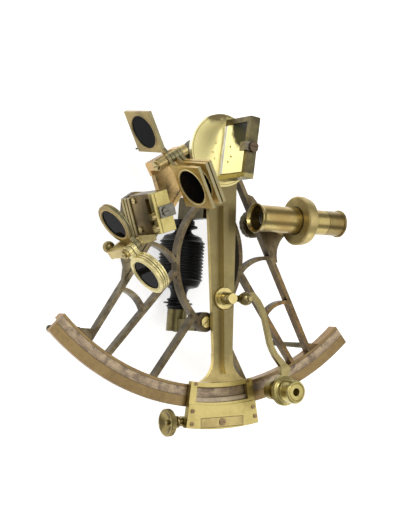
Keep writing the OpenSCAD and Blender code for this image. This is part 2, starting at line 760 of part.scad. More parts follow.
module slide_cover() {
    lift() color([0.78, 0.66, 0.36]) arm_local() difference() {
        translate([seat - 21.6, seat - vernier_ro + 1.7, vernier_top - 1.6])
            cube([41.8 - 2 * seat, 7.8 - 2 * seat, 1.6]);
        at(cover_screw) disc(1.3 + seat, 2, 8);
    }
}

// ---------------------------------------------------------------- index mirror
// Local y runs along the glass, local x points behind it.
module mirror_local() rotate([0, 0, index_glass_a]) children();
module mirror_in_arm() rotate([0, 0, index_glass_a - arm_a]) children();

module index_mirror_frame() {
    zt = mirror_z + 2 + index_glass_h;
    lift() color([0.62, 0.54, 0.30]) mirror_local() difference() {
        union() {
            translate([-1, -mirror_l / 2, mirror_z]) cube([9, mirror_l, zt - mirror_z]);
            translate([7.9, -14, mirror_z]) cube([8, 28, 2.4]);
            translate([-1, -mirror_l / 2, zt - 2]) cube([9, mirror_l, 5.6]);
        }
        translate([-2, -index_glass_l / 2, mirror_z + 2]) cube([5, index_glass_l, index_glass_h - 1.2]);
        translate([6, -index_glass_l / 2 + 4, mirror_z + 6]) cube([4, index_glass_l - 8, index_glass_h - 10]);
        for (y = [-9, 9]) translate([12.4, y, mirror_z - 1]) cylinder(r = 1.4 + seat, h = 5);
        translate([3.5, 0, zt]) cylinder(r = 1.8 + seat, h = 5);
    }
}

module index_mirror_glass() {
    lift() color([0.75, 0.76, 0.76]) mirror_local()
        translate([0, -index_glass_l / 2 + seat, mirror_z + 2 + seat])
            cube([3 - seat, index_glass_l - 2 * seat, index_glass_h - 1.2 - 2 * seat]);
}

// Spring clip with its silvered collar and screw, on the frame's outer bar.
module index_mirror_clip() {
    zt = mirror_z + 2 + index_glass_h + 3.6;
    lift() color([0.60, 0.58, 0.54]) mirror_local() difference() {
        union() {
            translate([-3.4, -3.6, zt + seat]) cube([9, 7.2, 1.2]);
            translate([-3.4, -3.6, zt - 8]) cube([2.2, 7.2, 9]);
            translate([3.5, 0, zt + 1]) cylinder(r = 4.2, h = 2);
            translate([3.5, 0, zt - 3]) cylinder(r = 1.8, h = 5);
        }
        translate([-2, -0.6, zt + 2.2]) cube([12, 1.2, 2]);
    }
}

// ---------------------------------------------------------------- magnifier
module magnifier_post() {
    lift() color([0.76, 0.66, 0.38]) at(post_c) {
        disc(9, arm_top + seat, arm_top + 2.4);
        disc(5.4, arm_top + 2, hub_z[0] - side_gap);
        disc(3, arm_top + 2, hub_z[1] + 2.6);
        disc(4.4, hub_z[1] + side_gap, hub_z[1] + 2.6);
    }
}

module magnifier_arm() {
    lift() color([0.72, 0.62, 0.34]) {
        difference() {
            union() {
                at(post_c) disc(5, hub_z[0], hub_z[1]);
                bar(post_c, elbow_c, 5.4, link_z, link_z + 2.2);
                at(elbow_c) disc(4.6, link_z, link_z + 2.2);
            }
            at(post_c) disc(3 + running, 0, 40);
        }
        at(elbow_c) disc(2, link_z + 1, neck_z + 6.6);
    }
}

// Side of a band along a path, half of its width out on side s.
function band_side(path, widths, s) = [for (i = [0:len(path) - 1])
    let (d = path[min(i + 1, len(path) - 1)] - path[max(i - 1, 0)])
        path[i] + s * widths[i] / 2 * [-d[1], d[0]] / norm(d)];

// Curved neck from the elbow's ball to the ring round the lens tube.
module magnifier_holder() {
    path = [for (p = [[16.8, 3.2], [21.4, 5], [27.6, -0.4], [31.6, -5.6], [34.9, -11.8], [38.3, -21.6],
        [42.4, -33], [45.4, -38.6], [49, -43.4], [57, -50.6], [60.6, -56.4]]) post_c + p];
    widths = [4.6, 4.6, 4.4, 4.3, 4.2, 4, 4.2, 4.4, 4.8, 6, 11];
    right = band_side(path, widths, -1);
    lift() color([0.74, 0.62, 0.34]) difference() {
        union() {
            intersection() {
                at(elbow_c, neck_z - 0.6) sphere(r = 5.7);
                at(elbow_c) disc(6, link_z + 2.2 + side_gap, neck_z + 6);
            }
            up(neck_z - 2.2) linear_extrude(4) polygon(concat(band_side(path, widths, 1),
                [lens_c + [7.2, -2.6], lens_c + [-7.2, 2.2]],
                [for (i = [1:len(right)]) right[len(right) - i]]));
            at(lens_c) disc(8.4, neck_z - 3.2, neck_z + 3.4);
        }
        at(lens_c) disc(lens_tube_r + running, 0, 60);
        at(elbow_c) disc(2 + running, 0, 60);
    }
}

module magnifier_tube() {
    r = lens_tube_r;
    d = drum_z;
    lift() color([0.70, 0.60, 0.34]) at(lens_c) rotate_extrude() polygon([[r - 1.2, 10.6], [r, 10.6], [r, d],
        [drum_r, d + 0.8], [drum_r, d + 4.6], [drum_r - 2, d + 5.4], [drum_r - 2.6, d + 7],
        [drum_r - 2, d + 8.6], [drum_r - 2, d + 17], [drum_r - 4, d + 19], [3, d + 19], [3, d + 17.4],
        [drum_r - 4, d + 16], [drum_r - 4, d + 4], [r - 0.8, d + 4], [r - 0.8, d - 2], [r - 1.2, d - 2]]);
}

module magnifier_lens() {
    lift() color([0.80, 0.84, 0.86]) at(lens_c) disc(lens_tube_r - 0.8 - seat, drum_z - 2, drum_z + 1.4);
}

// ---------------------------------------------------------------- telescope
// Local z runs along the telescope's axis from the objective to the eye.
module scope_local() at([stem_x, -stem_y], scope_z) rotate([0, 90, scope_a]) children();

module stem_socket() {
    lift() color([0.62, 0.50, 0.26]) at([stem_x, -stem_y]) difference() {
        union() {
            disc(8, -38, 1 - frame_d);
            disc(7.5, -frame_d, 0.2);
            disc(10.5, -1, 0.2);
            disc(9.4, -34, -31);
        }
        disc(stem_r + running, -40, 2);
    }
}

// Ring that holds the telescope, on the stem that lifts it.
module rising_stem() {
    lift() color([0.74, 0.66, 0.40]) difference() {
        union() {
            scope_local() rotate_extrude() polygon([[scope_r + seat, -5], [collar_r - 1.2, -5],
                [collar_r, -4], [collar_r, 0.6], [collar_r - 0.9, 1.4], [collar_r - 1.2, 4.6],
                [collar_r - 2.2, 5.6], [scope_r + seat, 5.6]]);
            at([stem_x, -stem_y]) disc(stem_r, -50, scope_z - 14);
        }
        at([stem_x, -stem_y], -51) rotate([0, 0, 30]) translate([-6, -0.6, 0]) cube([12, 1.2, 2.2]);
    }
}

module rising_nut() {
    lift() color([0.58, 0.48, 0.28]) at([stem_x, -stem_y]) difference() {
        rotate_extrude($fn = 48) polygon([[stem_r + running, -46], [11, -46], [12.3, -45], [12.3, -42.6],
            [11.6, -42.2], [12.3, -41.8], [12.3, -39.4], [11, -38 - side_gap],
            [stem_r + running, -38 - side_gap]]);
        for (a = [0:24:359]) rotate([0, 0, a]) translate([13.2, 0, -47]) cylinder(r = 1.5, h = 10);
    }
}

module telescope_tube() {
    f = -scope_front;
    lift() color([0.72, 0.62, 0.36]) scope_local() rotate_extrude() polygon([[tube_bore, f + 3.4],
        [scope_r + 0.5, f], [scope_r + 1.2, f + 0.4], [scope_r + 1.2, f + 1.4], [scope_r + 0.3, f + 3.4],
        [scope_r, f + 5], [scope_r, 9], [scope_r - 0.5, 9.6], [scope_r - 0.5, 24.2], [tube_bore, 24.2],
        [tube_bore, f + 14.5], [lens_seat, f + 14.5], [lens_seat, f + 11.5], [tube_bore, f + 11.5]]);
}

module objective_lens() {
    lift() color([0.25, 0.30, 0.36]) scope_local() up(-scope_front + 11.5 + seat)
        cylinder(r = lens_seat - seat, h = 3 - 2 * seat);
}

module draw_tube() {
    r = tube_bore - running;
    e = scope_back;
    lift() color([0.70, 0.62, 0.38]) scope_local() rotate_extrude() polygon([[r - 1.2, -16], [r, -16],
        [r, 24.5], [scope_r - 0.5, 24.5], [scope_r - 0.5, e - 2.4], [scope_r + 0.6, e - 1.9],
        [scope_r + 0.6, e - 0.3], [scope_r, e], [5, e], [5, e - 1.2], [r - 0.8, e - 6],
        [r - 0.8, e - 9 - seat], [r - 1.2, e - 9 - seat]]);
}

module eye_lens() {
    lift() color([0.30, 0.34, 0.38]) scope_local() up(scope_back - 9)
        cylinder(r = tube_bore - running - 0.8 - seat, h = 3);
}

// ---------------------------------------------------------------- slow motion
// Block behind the vernier that grips the limb.
module clamp_block() {
    lift() color([0.50, 0.40, 0.22]) arm_local() difference() {
        union() {
            translate([-13, -block_out, -9]) cube([26, block_out - block_in, 9.1]);
            translate([-13, -block_in - 1, -9]) cube([26, block_in - scale_r + 4.6, 9 - limb_t - side_gap]);
        }
        translate([-20, -tangent_y, tangent_z]) rotate([0, 90, 0]) cylinder(r = tangent_r + running, h = 40);
        at([0, -limb_ro + 5.6]) disc(2.4 + running, -10, 0);
    }
}

module clamp_screw() {
    lift() color([0.62, 0.52, 0.30]) arm_local() at([0, -limb_ro + 5.6]) difference() {
        rotate_extrude() polygon([[0, -limb_t - side_gap], [2.4, -limb_t - side_gap], [2.4, -9.4],
            [5, -9.4], [5, -12.4], [9, -13.4], [9, -18], [7.6, -19.4], [0, -19.4]]);
        for (a = [0:24:359]) rotate([0, 0, a]) translate([9.9, 0, -21]) cylinder(r = 1.4, h = 9);
    }
}

module tangent_screw() {
    k = tangent_knob_r;
    b = -bearing_x;
    lift() color([0.64, 0.54, 0.32]) arm_local() translate([0, -tangent_y, tangent_z]) rotate([0, 90, 0])
        rotate_extrude() polygon([[0, b - 13], [3.4, b - 13.4], [k - 2.4, b - 16], [k - 0.8, b - 16],
            [k, b - 15], [k, b - 12], [k - 1, b - 11], [5.4, b - 9.4], [3.4, b - 8], [3.2, b - 6.6],
            [4.6, b - 6], [5.2, b - 4.8], [4.6, b - 3.8], [3.4, b - 3.4], [2.9, b - 2.8], [2.9, b - 0.3],
            [tangent_r, b - 0.3], [tangent_r, b + 4.3], [tangent_r + 0.5, b + 4.3],
            [tangent_r + 0.5, b + 6], [tangent_r, b + 6], [tangent_r, 17], [0, 18.2]]);
}

module index_shade_1() { index_shade(1); }
module index_shade_2() { index_shade(2); }
module index_shade_3() { index_shade(3); }
module index_shade_4() { index_shade(4); }
module index_filter_1() { index_filter(1); }
module index_filter_2() { index_filter(2); }
module index_filter_3() { index_filter(3); }
module index_filter_4() { index_filter(4); }
module horizon_shade_1() { horizon_shade(1); }
module horizon_shade_2() { horizon_shade(2); }
module horizon_shade_3() { horizon_shade(3); }
module horizon_filter_1() { horizon_filter(1); }
module horizon_filter_2() { horizon_filter(2); }
module horizon_filter_3() { horizon_filter(3); }

limb();
scale_inlay();
frame();
lower_feet();
centre_bearing();
apex_foot();
handle_bracket_top();
handle_bracket_bottom();
handle();
handle_rod();
frame_screws();
index_shade_bracket();
shade_pins();
horizon_base();
horizon_frame();
horizon_glass();
horizon_cap();
horizon_clip();
horizon_screws();
horizon_shade_bracket();
shade_knob();
stem_socket();
index_arm();
centre_axis();
axis_nut();
vernier_frame();
vernier_scale();
arm_screws();
slide_cover();
index_mirror_frame();
index_mirror_glass();
index_mirror_clip();
magnifier_post();
rising_stem();
telescope_tube();
objective_lens();
draw_tube();
eye_lens();
rising_nut();
clamp_block();
clamp_screw();
tangent_screw();
magnifier_arm();
magnifier_holder();
magnifier_tube();
magnifier_lens();
index_shade_1();
index_shade_2();
index_shade_3();
index_shade_4();
index_filter_1();
index_filter_2();
index_filter_3();
index_filter_4();
horizon_shade_1();
horizon_shade_2();
horizon_shade_3();
horizon_filter_1();
horizon_filter_2();
horizon_filter_3();
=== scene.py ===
"""Looks of the marine sextant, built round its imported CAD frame.

Each sub-assembly is a class that refines or replaces its CAD nodes and dresses
them. Sizes are in metres, in the frame that the CAD part uses; profiles and
roundings are in millimetres.
"""

import json
import logging
import math
from dataclasses import dataclass, field, replace
from enum import Enum
from typing import ClassVar, Optional, Sequence, Union

import bpy
from mathutils import Matrix, Vector

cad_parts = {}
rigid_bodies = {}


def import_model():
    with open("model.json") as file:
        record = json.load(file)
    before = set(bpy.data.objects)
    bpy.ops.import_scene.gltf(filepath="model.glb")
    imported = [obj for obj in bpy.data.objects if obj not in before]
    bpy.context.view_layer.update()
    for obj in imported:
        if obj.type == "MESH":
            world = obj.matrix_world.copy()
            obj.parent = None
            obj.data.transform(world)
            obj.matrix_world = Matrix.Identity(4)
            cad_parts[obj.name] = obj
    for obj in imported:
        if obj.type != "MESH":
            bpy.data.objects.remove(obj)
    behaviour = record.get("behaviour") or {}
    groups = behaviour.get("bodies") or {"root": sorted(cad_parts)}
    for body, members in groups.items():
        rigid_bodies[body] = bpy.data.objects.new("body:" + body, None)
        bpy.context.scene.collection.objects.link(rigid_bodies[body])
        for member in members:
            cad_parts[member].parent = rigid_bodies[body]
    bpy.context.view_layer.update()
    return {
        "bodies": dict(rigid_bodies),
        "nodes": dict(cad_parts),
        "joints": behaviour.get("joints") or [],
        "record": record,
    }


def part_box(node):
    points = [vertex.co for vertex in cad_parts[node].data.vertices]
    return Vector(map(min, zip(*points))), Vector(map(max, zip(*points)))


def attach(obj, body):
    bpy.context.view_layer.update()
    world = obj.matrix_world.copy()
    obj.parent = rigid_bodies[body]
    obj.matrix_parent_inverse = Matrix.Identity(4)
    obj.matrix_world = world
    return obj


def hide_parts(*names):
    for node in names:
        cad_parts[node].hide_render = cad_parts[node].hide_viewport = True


log = logging.getLogger("sextant")
MM = 0.001
STAND = 0.062  # height of the arm's plane over the floor
ARM_ANGLE = 5.3  # degrees that the arm stands off the middle
MERGE = 2e-6  # vertices closer than this become one
FLAT = 0.6  # degrees between faces that become one
ROUNDED = 34.0  # degrees at an edge of a CAD node before it is rounded
SHARP = 38.0  # degrees at an edge that stays sharp in the shading
Colour = tuple[float, float, float]
Point = tuple[float, float, float]
Node = bpy.types.ShaderNode
Socket = bpy.types.NodeSocket
Feed = Union[Socket, float, tuple]  # what a socket takes
Object = bpy.types.Object
Material = bpy.types.Material


# ---- node graphs
class Graph:
    """A node tree with short calls that add nodes and join sockets."""

    def __init__(self, tree: bpy.types.NodeTree) -> None:
        """Starts on a tree, which is emptied first."""
        self.tree = tree
        tree.nodes.clear()

    def add(self, kind: str, inputs: Optional[dict] = None, **settings: object) -> Node:
        """Adds one node.

        Args:
            kind: The node's type, without the leading ShaderNode.
            inputs: Values or sockets by input name or index.
            settings: Attributes set on the node itself.

        Returns:
            The new node.
        """
        node = self.tree.nodes.new(kind if kind.startswith("NodeGroup") else "ShaderNode" + kind)
        for name, value in settings.items():
            setattr(node, name, value)
        self.fill(node, inputs or {})
        return node

    def fill(self, node: Node, inputs: dict) -> None:
        """Feeds a node's inputs, given by name or index."""
        for key, value in inputs.items():
            self.feed(node.inputs[key], value)

    def feed(self, socket: Socket, value: Feed) -> None:
        """Links a socket to another, or sets its value.

        Args:
            socket: The input.
            value: What it takes.
        """
        if isinstance(value, Socket):
            self.tree.links.new(value, socket)
        elif isinstance(value, (tuple, list)) and socket.type == "RGBA" and len(value) == 3:
            socket.default_value = (*value, 1.0)
        else:
            socket.default_value = value

    def math(self, operation: str, *values: Feed, clamp: bool = False) -> Socket:
        """Adds a Math node and gives its result, which clamp holds between 0 and 1."""
        return self.add("Math", dict(enumerate(values)), operation=operation, use_clamp=clamp).outputs[0]

    def times(self, first: Feed, second: Feed, clamp: bool = False) -> Socket:
        """Multiplies two numbers."""
        return self.math("MULTIPLY", first, second, clamp=clamp)

    def vector(self, operation: str, *values: Feed) -> Socket:
        """Adds a Vector Math node and gives its vector, or the number of a length or distance."""
        node = self.add("VectorMath", dict(enumerate(values)), operation=operation)
        return node.outputs["Value" if operation in ("LENGTH", "DISTANCE") else "Vector"]

    def split(self, vector: Socket) -> Sequence[Socket]:
        """Gives the x, y and z of a vector."""
        return self.add("SeparateXYZ", {0: vector}).outputs

    def level(self) -> Socket:
        """Gives how level the surface lies, from 0 when upright to 1 when flat."""
        return self.math("ABSOLUTE", self.split(self.add("NewGeometry").outputs["True Normal"])[2])

    def edge(self) -> Socket:
        """Gives the attribute that marks rounded edges."""
        return self.add("Attribute", attribute_name="edge").outputs["Fac"]

    def remap(self, value: Feed, low: float, high: float, out_low: float = 0.0,
              out_high: float = 1.0) -> Socket:
        """Smoothly maps a range of one value onto another range.

        Args:
            value: The value's socket.
            low: Lower end of the range.
            high: Upper end of the range.
            out_low: What the lower end becomes.
            out_high: What the upper end becomes.

        Returns:
            The mapped value.
        """
        node = self.add("MapRange", {0: value, 1: low, 2: high, 3: out_low, 4: out_high},
                        interpolation_type="SMOOTHSTEP")
        return node.outputs[0]

    def mix(self, factor: Feed, first: Feed, second: Feed) -> Socket:
        """Mixes two colours by a factor."""
        return self.add("Mix", {0: factor, 6: first, 7: second}, data_type="RGBA").outputs[2]

    def blend(self, factor: Feed, first: Feed, second: Feed) -> Socket:
        """Mixes two numbers by a factor."""
        return self.add("Mix", {0: factor, 2: first, 3: second}, data_type="FLOAT").outputs[0]

    def noise(self, vector: Socket, scale: Feed, detail: float = 4.0, roughness: float = 0.55,
              distortion: float = 0.0) -> Socket:
        """Adds a noise texture and gives its value."""
        return self.add("TexNoise", {"Vector": vector, "Scale": scale, "Detail": detail,
                                     "Roughness": roughness, "Distortion": distortion}).outputs[0]


class Surface(Graph):
    """A material's graph, with its shader and the place on the object."""

    def __init__(self, name: str) -> None:
        """Starts a material with a Principled BSDF.

        Args:
            name: The material's name.
        """
        self.material = bpy.data.materials.new(name)
        self.material.use_nodes = True
        super().__init__(self.material.node_tree)
        self.shader = self.add("BsdfPrincipled")
        self.add("OutputMaterial", {0: self.shader.outputs[0]})
        self.place = self.add("TexCoord").outputs["Object"]

    def reach(self) -> Socket:
        """Gives the distance from the pivot's axis."""
        return self.vector("LENGTH", self.vector("MULTIPLY", self.place, (1.0, 1.0, 0.0)))


def group_tree(name: str, inputs: Sequence[tuple], outputs: Sequence[tuple]) -> Graph:
    """Makes an empty node group with named sockets.

    Args:
        name: The group's name.
        inputs: The kind, then the names, of each sort of input.
        outputs: The same of the outputs.

    Returns:
        The graph, with its input and output nodes as `entry` and `exit`.
    """
    graph = Graph(bpy.data.node_groups.new(name, "ShaderNodeTree"))
    for way, sorts in (("INPUT", inputs), ("OUTPUT", outputs)):
        for kind, *labels in sorts:
            for label in labels:
                graph.tree.interface.new_socket(label, in_out=way, socket_type="NodeSocket" + kind)
    graph.entry = graph.add("NodeGroupInput")
    graph.exit = graph.add("NodeGroupOutput")
    return graph


class Effects:
    """The shader node groups that several finishes share, each built once."""

    FINE = 9.0  # how many times finer than the blotches the small noise is
    SPECKS = 11.0  # the same of the specks of dirt
    CORNER = 0.0035  # how far painted shade and dirt spread out of a corner
    DENTS = 240.0  # scale of the soft dents
    RUBBED_AND_HIGHLIT = {"Value": 1.22, "Saturation": 0.95}  # how rubbed metal differs from clean metal; the same brightening paints highlights along edges

    def __init__(self) -> None:
        """Builds the groups."""
        self.patina()
        self.grain()

    def patina(self) -> None:
        """Builds metal that dulls in blotches, with dirt and painted shade in corners, rubbed edges that
        double as painted highlights and painted light on upright faces.
        """
        g = group_tree("patina", [
            ("Vector", "Vector"), ("Color", "Clean", "Tarnish", "Dirt"),
            ("Float", "Blotch", "Tarnish Amount", "Dirt Amount", "Wear Amount", "Rough", "Rough Tarnish",
             "Side"),
        ], [("Color", "Color"), ("Float", "Roughness", "Clean Mask")])
        i = g.entry.outputs
        broad = g.noise(i["Vector"], i["Blotch"], 7.0, 0.62, 0.5)
        fine = g.noise(i["Vector"], g.times(i["Blotch"], self.FINE), 5.0, 0.7)
        spots = g.add("TexVoronoi", {"Vector": i["Vector"], "Scale": g.times(i["Blotch"], self.SPECKS)})
        speck = g.remap(g.math("ADD", spots.outputs[0], g.times(fine, 0.35)), 0.17, 0.24, 1.0, 0.0)
        cloud = g.math("ADD", g.times(broad, 0.75), g.times(fine, 0.25))
        # painted shade: ambient occlusion darkens corners and the gaps between parts, and is mixed with real
        # dirt below
        hollow = g.add("AmbientOcclusion", {"Distance": self.CORNER}, samples=6).outputs["AO"]
        dull = g.times(g.remap(cloud, 0.38, 0.62), i["Tarnish Amount"], clamp=True)
        # rubbed bright edges, which also serve as painted edge highlights
        rubbed = g.times(g.edge(), g.remap(fine, 0.35, 0.6), clamp=True)
        rubbed = g.times(rubbed, i["Wear Amount"], clamp=True)
        dull = g.times(dull, g.math("SUBTRACT", 1.0, rubbed), clamp=True)
        corner_shade_and_grime = g.remap(g.math("ADD", hollow, g.times(g.math("SUBTRACT", fine, 0.5), 0.5)),
                       0.16, 0.60, 1.0, 0.0)
        corner_shade_and_grime = g.times(corner_shade_and_grime, i["Dirt Amount"], clamp=True)
        speck = g.times(g.times(speck, i["Dirt Amount"]), 0.45, clamp=True)
        dirt_and_shade = g.math("MAXIMUM", corner_shade_and_grime, g.times(speck, g.remap(broad, 0.45, 0.65)))
        # painted light: upright faces are made lighter or darker than level ones by Side
        side_light = g.blend(g.remap(g.level(), 0.15, 0.75, 1.0, 0.0), 1.0, i["Side"])
        colour = g.mix(dull, i["Clean"], i["Tarnish"])
        colour = g.add("HueSaturation", {"Value": side_light, "Color": colour}).outputs[0]
        rubbed_and_highlit = g.add("HueSaturation", {"Color": i["Clean"], **self.RUBBED_AND_HIGHLIT}).outputs[0]
        colour = g.mix(g.times(rubbed, 0.8), colour, rubbed_and_highlit)
        rough = g.blend(dull, i["Rough"], i["Rough Tarnish"])
        rough = g.math("ADD", rough, g.times(g.math("SUBTRACT", fine, 0.5), 0.12))
        g.fill(g.exit, {
            "Color": g.mix(dirt_and_shade, colour, i["Dirt"]),
            "Roughness": g.math("ADD", rough, g.times(dirt_and_shade, 0.3), clamp=True),
            "Clean Mask": g.math("SUBTRACT", 1.0, g.math("MAXIMUM", dull, dirt_and_shade), clamp=True),
        })

    def grain(self) -> None:
        """Builds fine tool marks drawn out along one way, with soft dents, as a height."""
        g = group_tree("grain", [("Vector", "Vector", "Stretch"), ("Float", "Marks", "Dents")],
                       [("Float", "Height")])
        i = g.entry.outputs
        drawn = g.vector("MULTIPLY", i["Vector"], i["Stretch"])
        marks = g.times(g.noise(drawn, 1.0, 3.0, 0.6), i["Marks"])
        dents = g.times(g.noise(i["Vector"], self.DENTS, 3.0, 0.5), i["Dents"])
        g.fill(g.exit, {"Height": g.math("ADD", marks, dents)})


# ---- finishes
class Draw(Enum):
    """The way in which a finish's tool marks run, as a stretch of noise space."""

    ALONG_X = (60.0, 2200.0, 2200.0)
    ALONG_Y = (2200.0, 60.0, 2200.0)
    RINGS_X = (2600.0, 50.0, 50.0)
    RINGS_Z = (50.0, 50.0, 2600.0)
    CAST = (700.0, 700.0, 700.0)


@dataclass(frozen=True)
class Finish:
    """A surface: its name, its material slot and the way it is painted."""

    name: str
    slot: str = field(default="yellow_brass", kw_only=True)

    def material(self) -> Material:
        """Builds the finish's material.

        Returns:
            The material.
        """
        g = Surface(self.name)
        self.paint(g)
        return g.material

    def paint(self, g: Surface) -> None:
        """Joins the finish's nodes to the shader."""
        raise NotImplementedError


@dataclass(frozen=True)
class BrassFinish(Finish):
    """Brass with old lacquer, tarnish, dirt and painted shade in corners, rubbed edges that also paint
    highlights, and painted light on upright faces.
    """

    clean: Colour
    tarnish: Colour
    # colour of dirt and of the painted shade in corners
    dirt_and_shade: Colour = (0.045, 0.034, 0.018)
    blotch: float = 60.0
    dull: float = 0.6
    # how much dirt and painted corner shade
    grime_and_shade: float = 0.7
    # how much edges rub bright, which also paints highlights along them
    wear_and_highlight: float = 0.7
    rough: float = 0.28
    rough_dull: float = 0.42
    marks: float = 0.5
    dents: float = 0.5
    draw: Draw = Draw.CAST
    relief: float = 0.0001
    coat: float = 0.15
    coat_rough: float = 0.18
    metal: float = 1.0
    lacquer: float = 1.0
    # painted light: how much lighter or darker upright faces are than level ones
    side: float = 1.0

    def clean_metal(self, g: Surface) -> Feed:
        """Gives the clean metal's colour, which some finishes change over the surface."""
        return self.clean

    def dullness(self, g: Surface) -> Feed:
        """Gives how much of the metal is tarnished."""
        return self.dull

    def overlay(self, g: Surface, colour: Socket) -> Socket:
        """Draws marks over the finished colour; plain brass has none."""
        return colour

    def paint(self, g: Surface) -> None:
        """Joins the patina and the grain to the shader.

        Args:
            g: The material's graph.
        """
        patina = g.add("Group", {
            "Vector": g.place, "Clean": self.clean_metal(g), "Tarnish": self.tarnish, "Dirt": self.dirt_and_shade,
            "Blotch": self.blotch, "Tarnish Amount": self.dullness(g),
            "Dirt Amount": self.grime_and_shade, "Wear Amount": self.wear_and_highlight, "Rough": self.rough,
            "Rough Tarnish": self.rough_dull, "Side": self.side,
        }, node_tree=bpy.data.node_groups["patina"]).outputs
        grain = g.add("Group", {"Vector": g.place, "Stretch": self.draw.value, "Marks": self.marks,
                                "Dents": self.dents}, node_tree=bpy.data.node_groups["grain"])
        bump = g.add("Bump", {"Strength": 0.25, "Distance": self.relief, "Height": grain.outputs[0]})
        mask = patina["Clean Mask"]
        mixed = self.metal != self.lacquer
        g.fill(g.shader, {
            "Base Color": self.overlay(g, patina["Color"]), "Roughness": patina["Roughness"],
            "Normal": bump.outputs[0],
            "Metallic": g.blend(mask, self.metal, self.lacquer) if mixed else self.metal,
            "Coat Weight": g.times(mask, self.coat), "Coat Roughness": self.coat_rough, "Coat IOR": 1.45,
        })


@dataclass(frozen=True)
class HeadFinish(BrassFinish):
    """Brass whose round head, at the pivot, is brighter than the arm, with a painted highlight on its left
    side.
    """

    head: Colour = (0.80, 0.69, 0.295)
    painted_head_highlight: Colour = (1.0, 0.88, 0.40)
    shaded: Colour = (0.215, 0.170, 0.068)
    foot: Colour = (0.50, 0.39, 0.150)
    head_radius: float = 0.0302
    painted_shadow_ring: tuple[float, float] = (0.0282, 0.0287)
    neck: tuple[float, float] = (0.045, 0.095)
    ankle: tuple[float, float] = (0.160, 0.184)
    # painted dark reflection: heights over which the head's upper edge is dulled
    top: tuple[float, float] = (0.023, 0.031)
    # colour of the painted shadow line round the head
    line: Colour = (0.10, 0.08, 0.04)

    def clean_metal(self, g: Surface) -> Feed:
        """Gives the bright colour on the head and the dull one on the arm.

        Args:
            g: The material's graph.

        Returns:
            The colour.
        """
        reach = g.reach()
        colour = g.mix(g.remap(reach, *self.neck), self.shaded, self.clean)
        colour = g.mix(g.remap(reach, *self.ankle), colour, self.foot)
        # painted highlight: the head's left side, below x of -6 mm, is brighter
        head = g.mix(g.remap(g.split(g.place)[0], -0.006, 0.004), self.painted_head_highlight, self.head)
        return g.mix(g.math("LESS_THAN", reach, self.head_radius), colour, head)

    def dullness(self, g: Surface) -> Feed:
        """Keeps the head nearly free of tarnish, but dulls its upper edge as a painted dark reflection.

        Args:
            g: The material's graph.

        Returns:
            The share that is dull.
        """
        inside = g.math("LESS_THAN", g.reach(), self.head_radius)
        high = g.math("ADD", g.split(g.place)[1], g.times(g.noise(g.place, 90.0, 3.0), 0.008))
        return g.blend(inside, self.dull, g.remap(high, *self.top, 0.10, 1.3))

    def overlay(self, g: Surface, colour: Socket) -> Socket:
        """Paints a thin shadow line that borders the head.

        Args:
            g: The material's graph.
            colour: The finished colour.

        Returns:
            The colour with its marks.
        """
        reach = g.reach()
        ring = g.times(g.math("GREATER_THAN", reach, self.painted_shadow_ring[0]),
                       g.math("LESS_THAN", reach, self.painted_shadow_ring[1]))
        return g.mix(g.times(ring, 0.75), colour, self.line)


@dataclass(frozen=True)
class LatticeFinish(BrassFinish):
    """Cast frame brass: dull on the ring and webs, warmer where hands and rags reach it."""

    spots: tuple = (
        (-0.048, -0.036, 0.027, (0.74, 0.51, 0.215)), (0.088, -0.135, 0.050, (0.25, 0.155, 0.060)),
        (-0.085, -0.125, 0.030, (0.30, 0.25, 0.15)))  # x, y, reach and colour of each

    def _near(self, g: Surface, spot: tuple) -> Socket:
        """Gives 1 round one warm place, falling to 0 further off."""
        x, y, reach, _ = spot
        return g.remap(g.vector("DISTANCE", g.place, (x, y, STAND)), reach * 0.5, reach * 1.3, 1.0, 0.0)

    def clean_metal(self, g: Surface) -> Feed:
        """Mixes in the warm colours round a few places, broken up by noise.

        Args:
            g: The material's graph.

        Returns:
            The colour.
        """
        broken = g.remap(g.noise(g.place, 70.0, 5.0, 0.65, 0.6), 0.25, 0.50)
        colour = self.clean
        for spot in self.spots:
            near = g.times(self._near(g, spot), broken, clamp=True)
            colour = g.mix(near, colour, spot[3])
        return colour

    def dullness(self, g: Surface) -> Feed:
        """Rubs the tarnish off the first of the warm places."""
        return g.blend(self._near(g, self.spots[0]), self.dull, 0.3)


@dataclass(frozen=True)
class BezelFinish(BrassFinish):
    """Brass with one colour on upright faces and another on level ones."""

    edge: Colour = (0.32, 0.29, 0.15)

    def clean_metal(self, g: Surface) -> Feed:
        """Gives the edge's colour where the surface lies level."""
        return g.mix(g.remap(g.level(), 0.25, 0.6), self.clean, self.edge)


@dataclass(frozen=True)
class LayeredFinish(BrassFinish):
    """Brass whose colour changes at one height above the arm; the mirror frame and the ear use it to paint a
    highlight on a lip and on the top of the hinge barrel.
    """

    height: float = 0.010
    above: bool = True
    # the other colour; on the mirror frame and the ear it is a painted highlight
    other: Colour = (0.8, 0.78, 0.7)
    low: float = -1.0
    low_other: Colour = (0.31, 0.265, 0.110)

    def clean_metal(self, g: Surface) -> Feed:
        """Gives the other colour past the height, and a third one on the lowest bar.

        Args:
            g: The material's graph.

        Returns:
            The colour.
        """
        apart = g.split(g.place)
        high = g.math("GREATER_THAN", apart[2], STAND + self.height)
        first, second = (self.clean, self.other) if self.above else (self.other, self.clean)
        return g.mix(g.math("LESS_THAN", apart[1], self.low), g.mix(high, first, second), self.low_other)

    def dullness(self, g: Surface) -> Feed:
        """Keeps a lower band with the painted highlight free of tarnish, and the lowest bar nearly so.

        Args:
            g: The material's graph.

        Returns:
            The share that is dull.
        """
        apart = g.split(g.place)
        high = g.math("GREATER_THAN", apart[2], STAND + self.height)
        share = self.dull if self.above else g.times(high, self.dull)
        return g.blend(g.math("LESS_THAN", apart[1], self.low), share, 0.2)


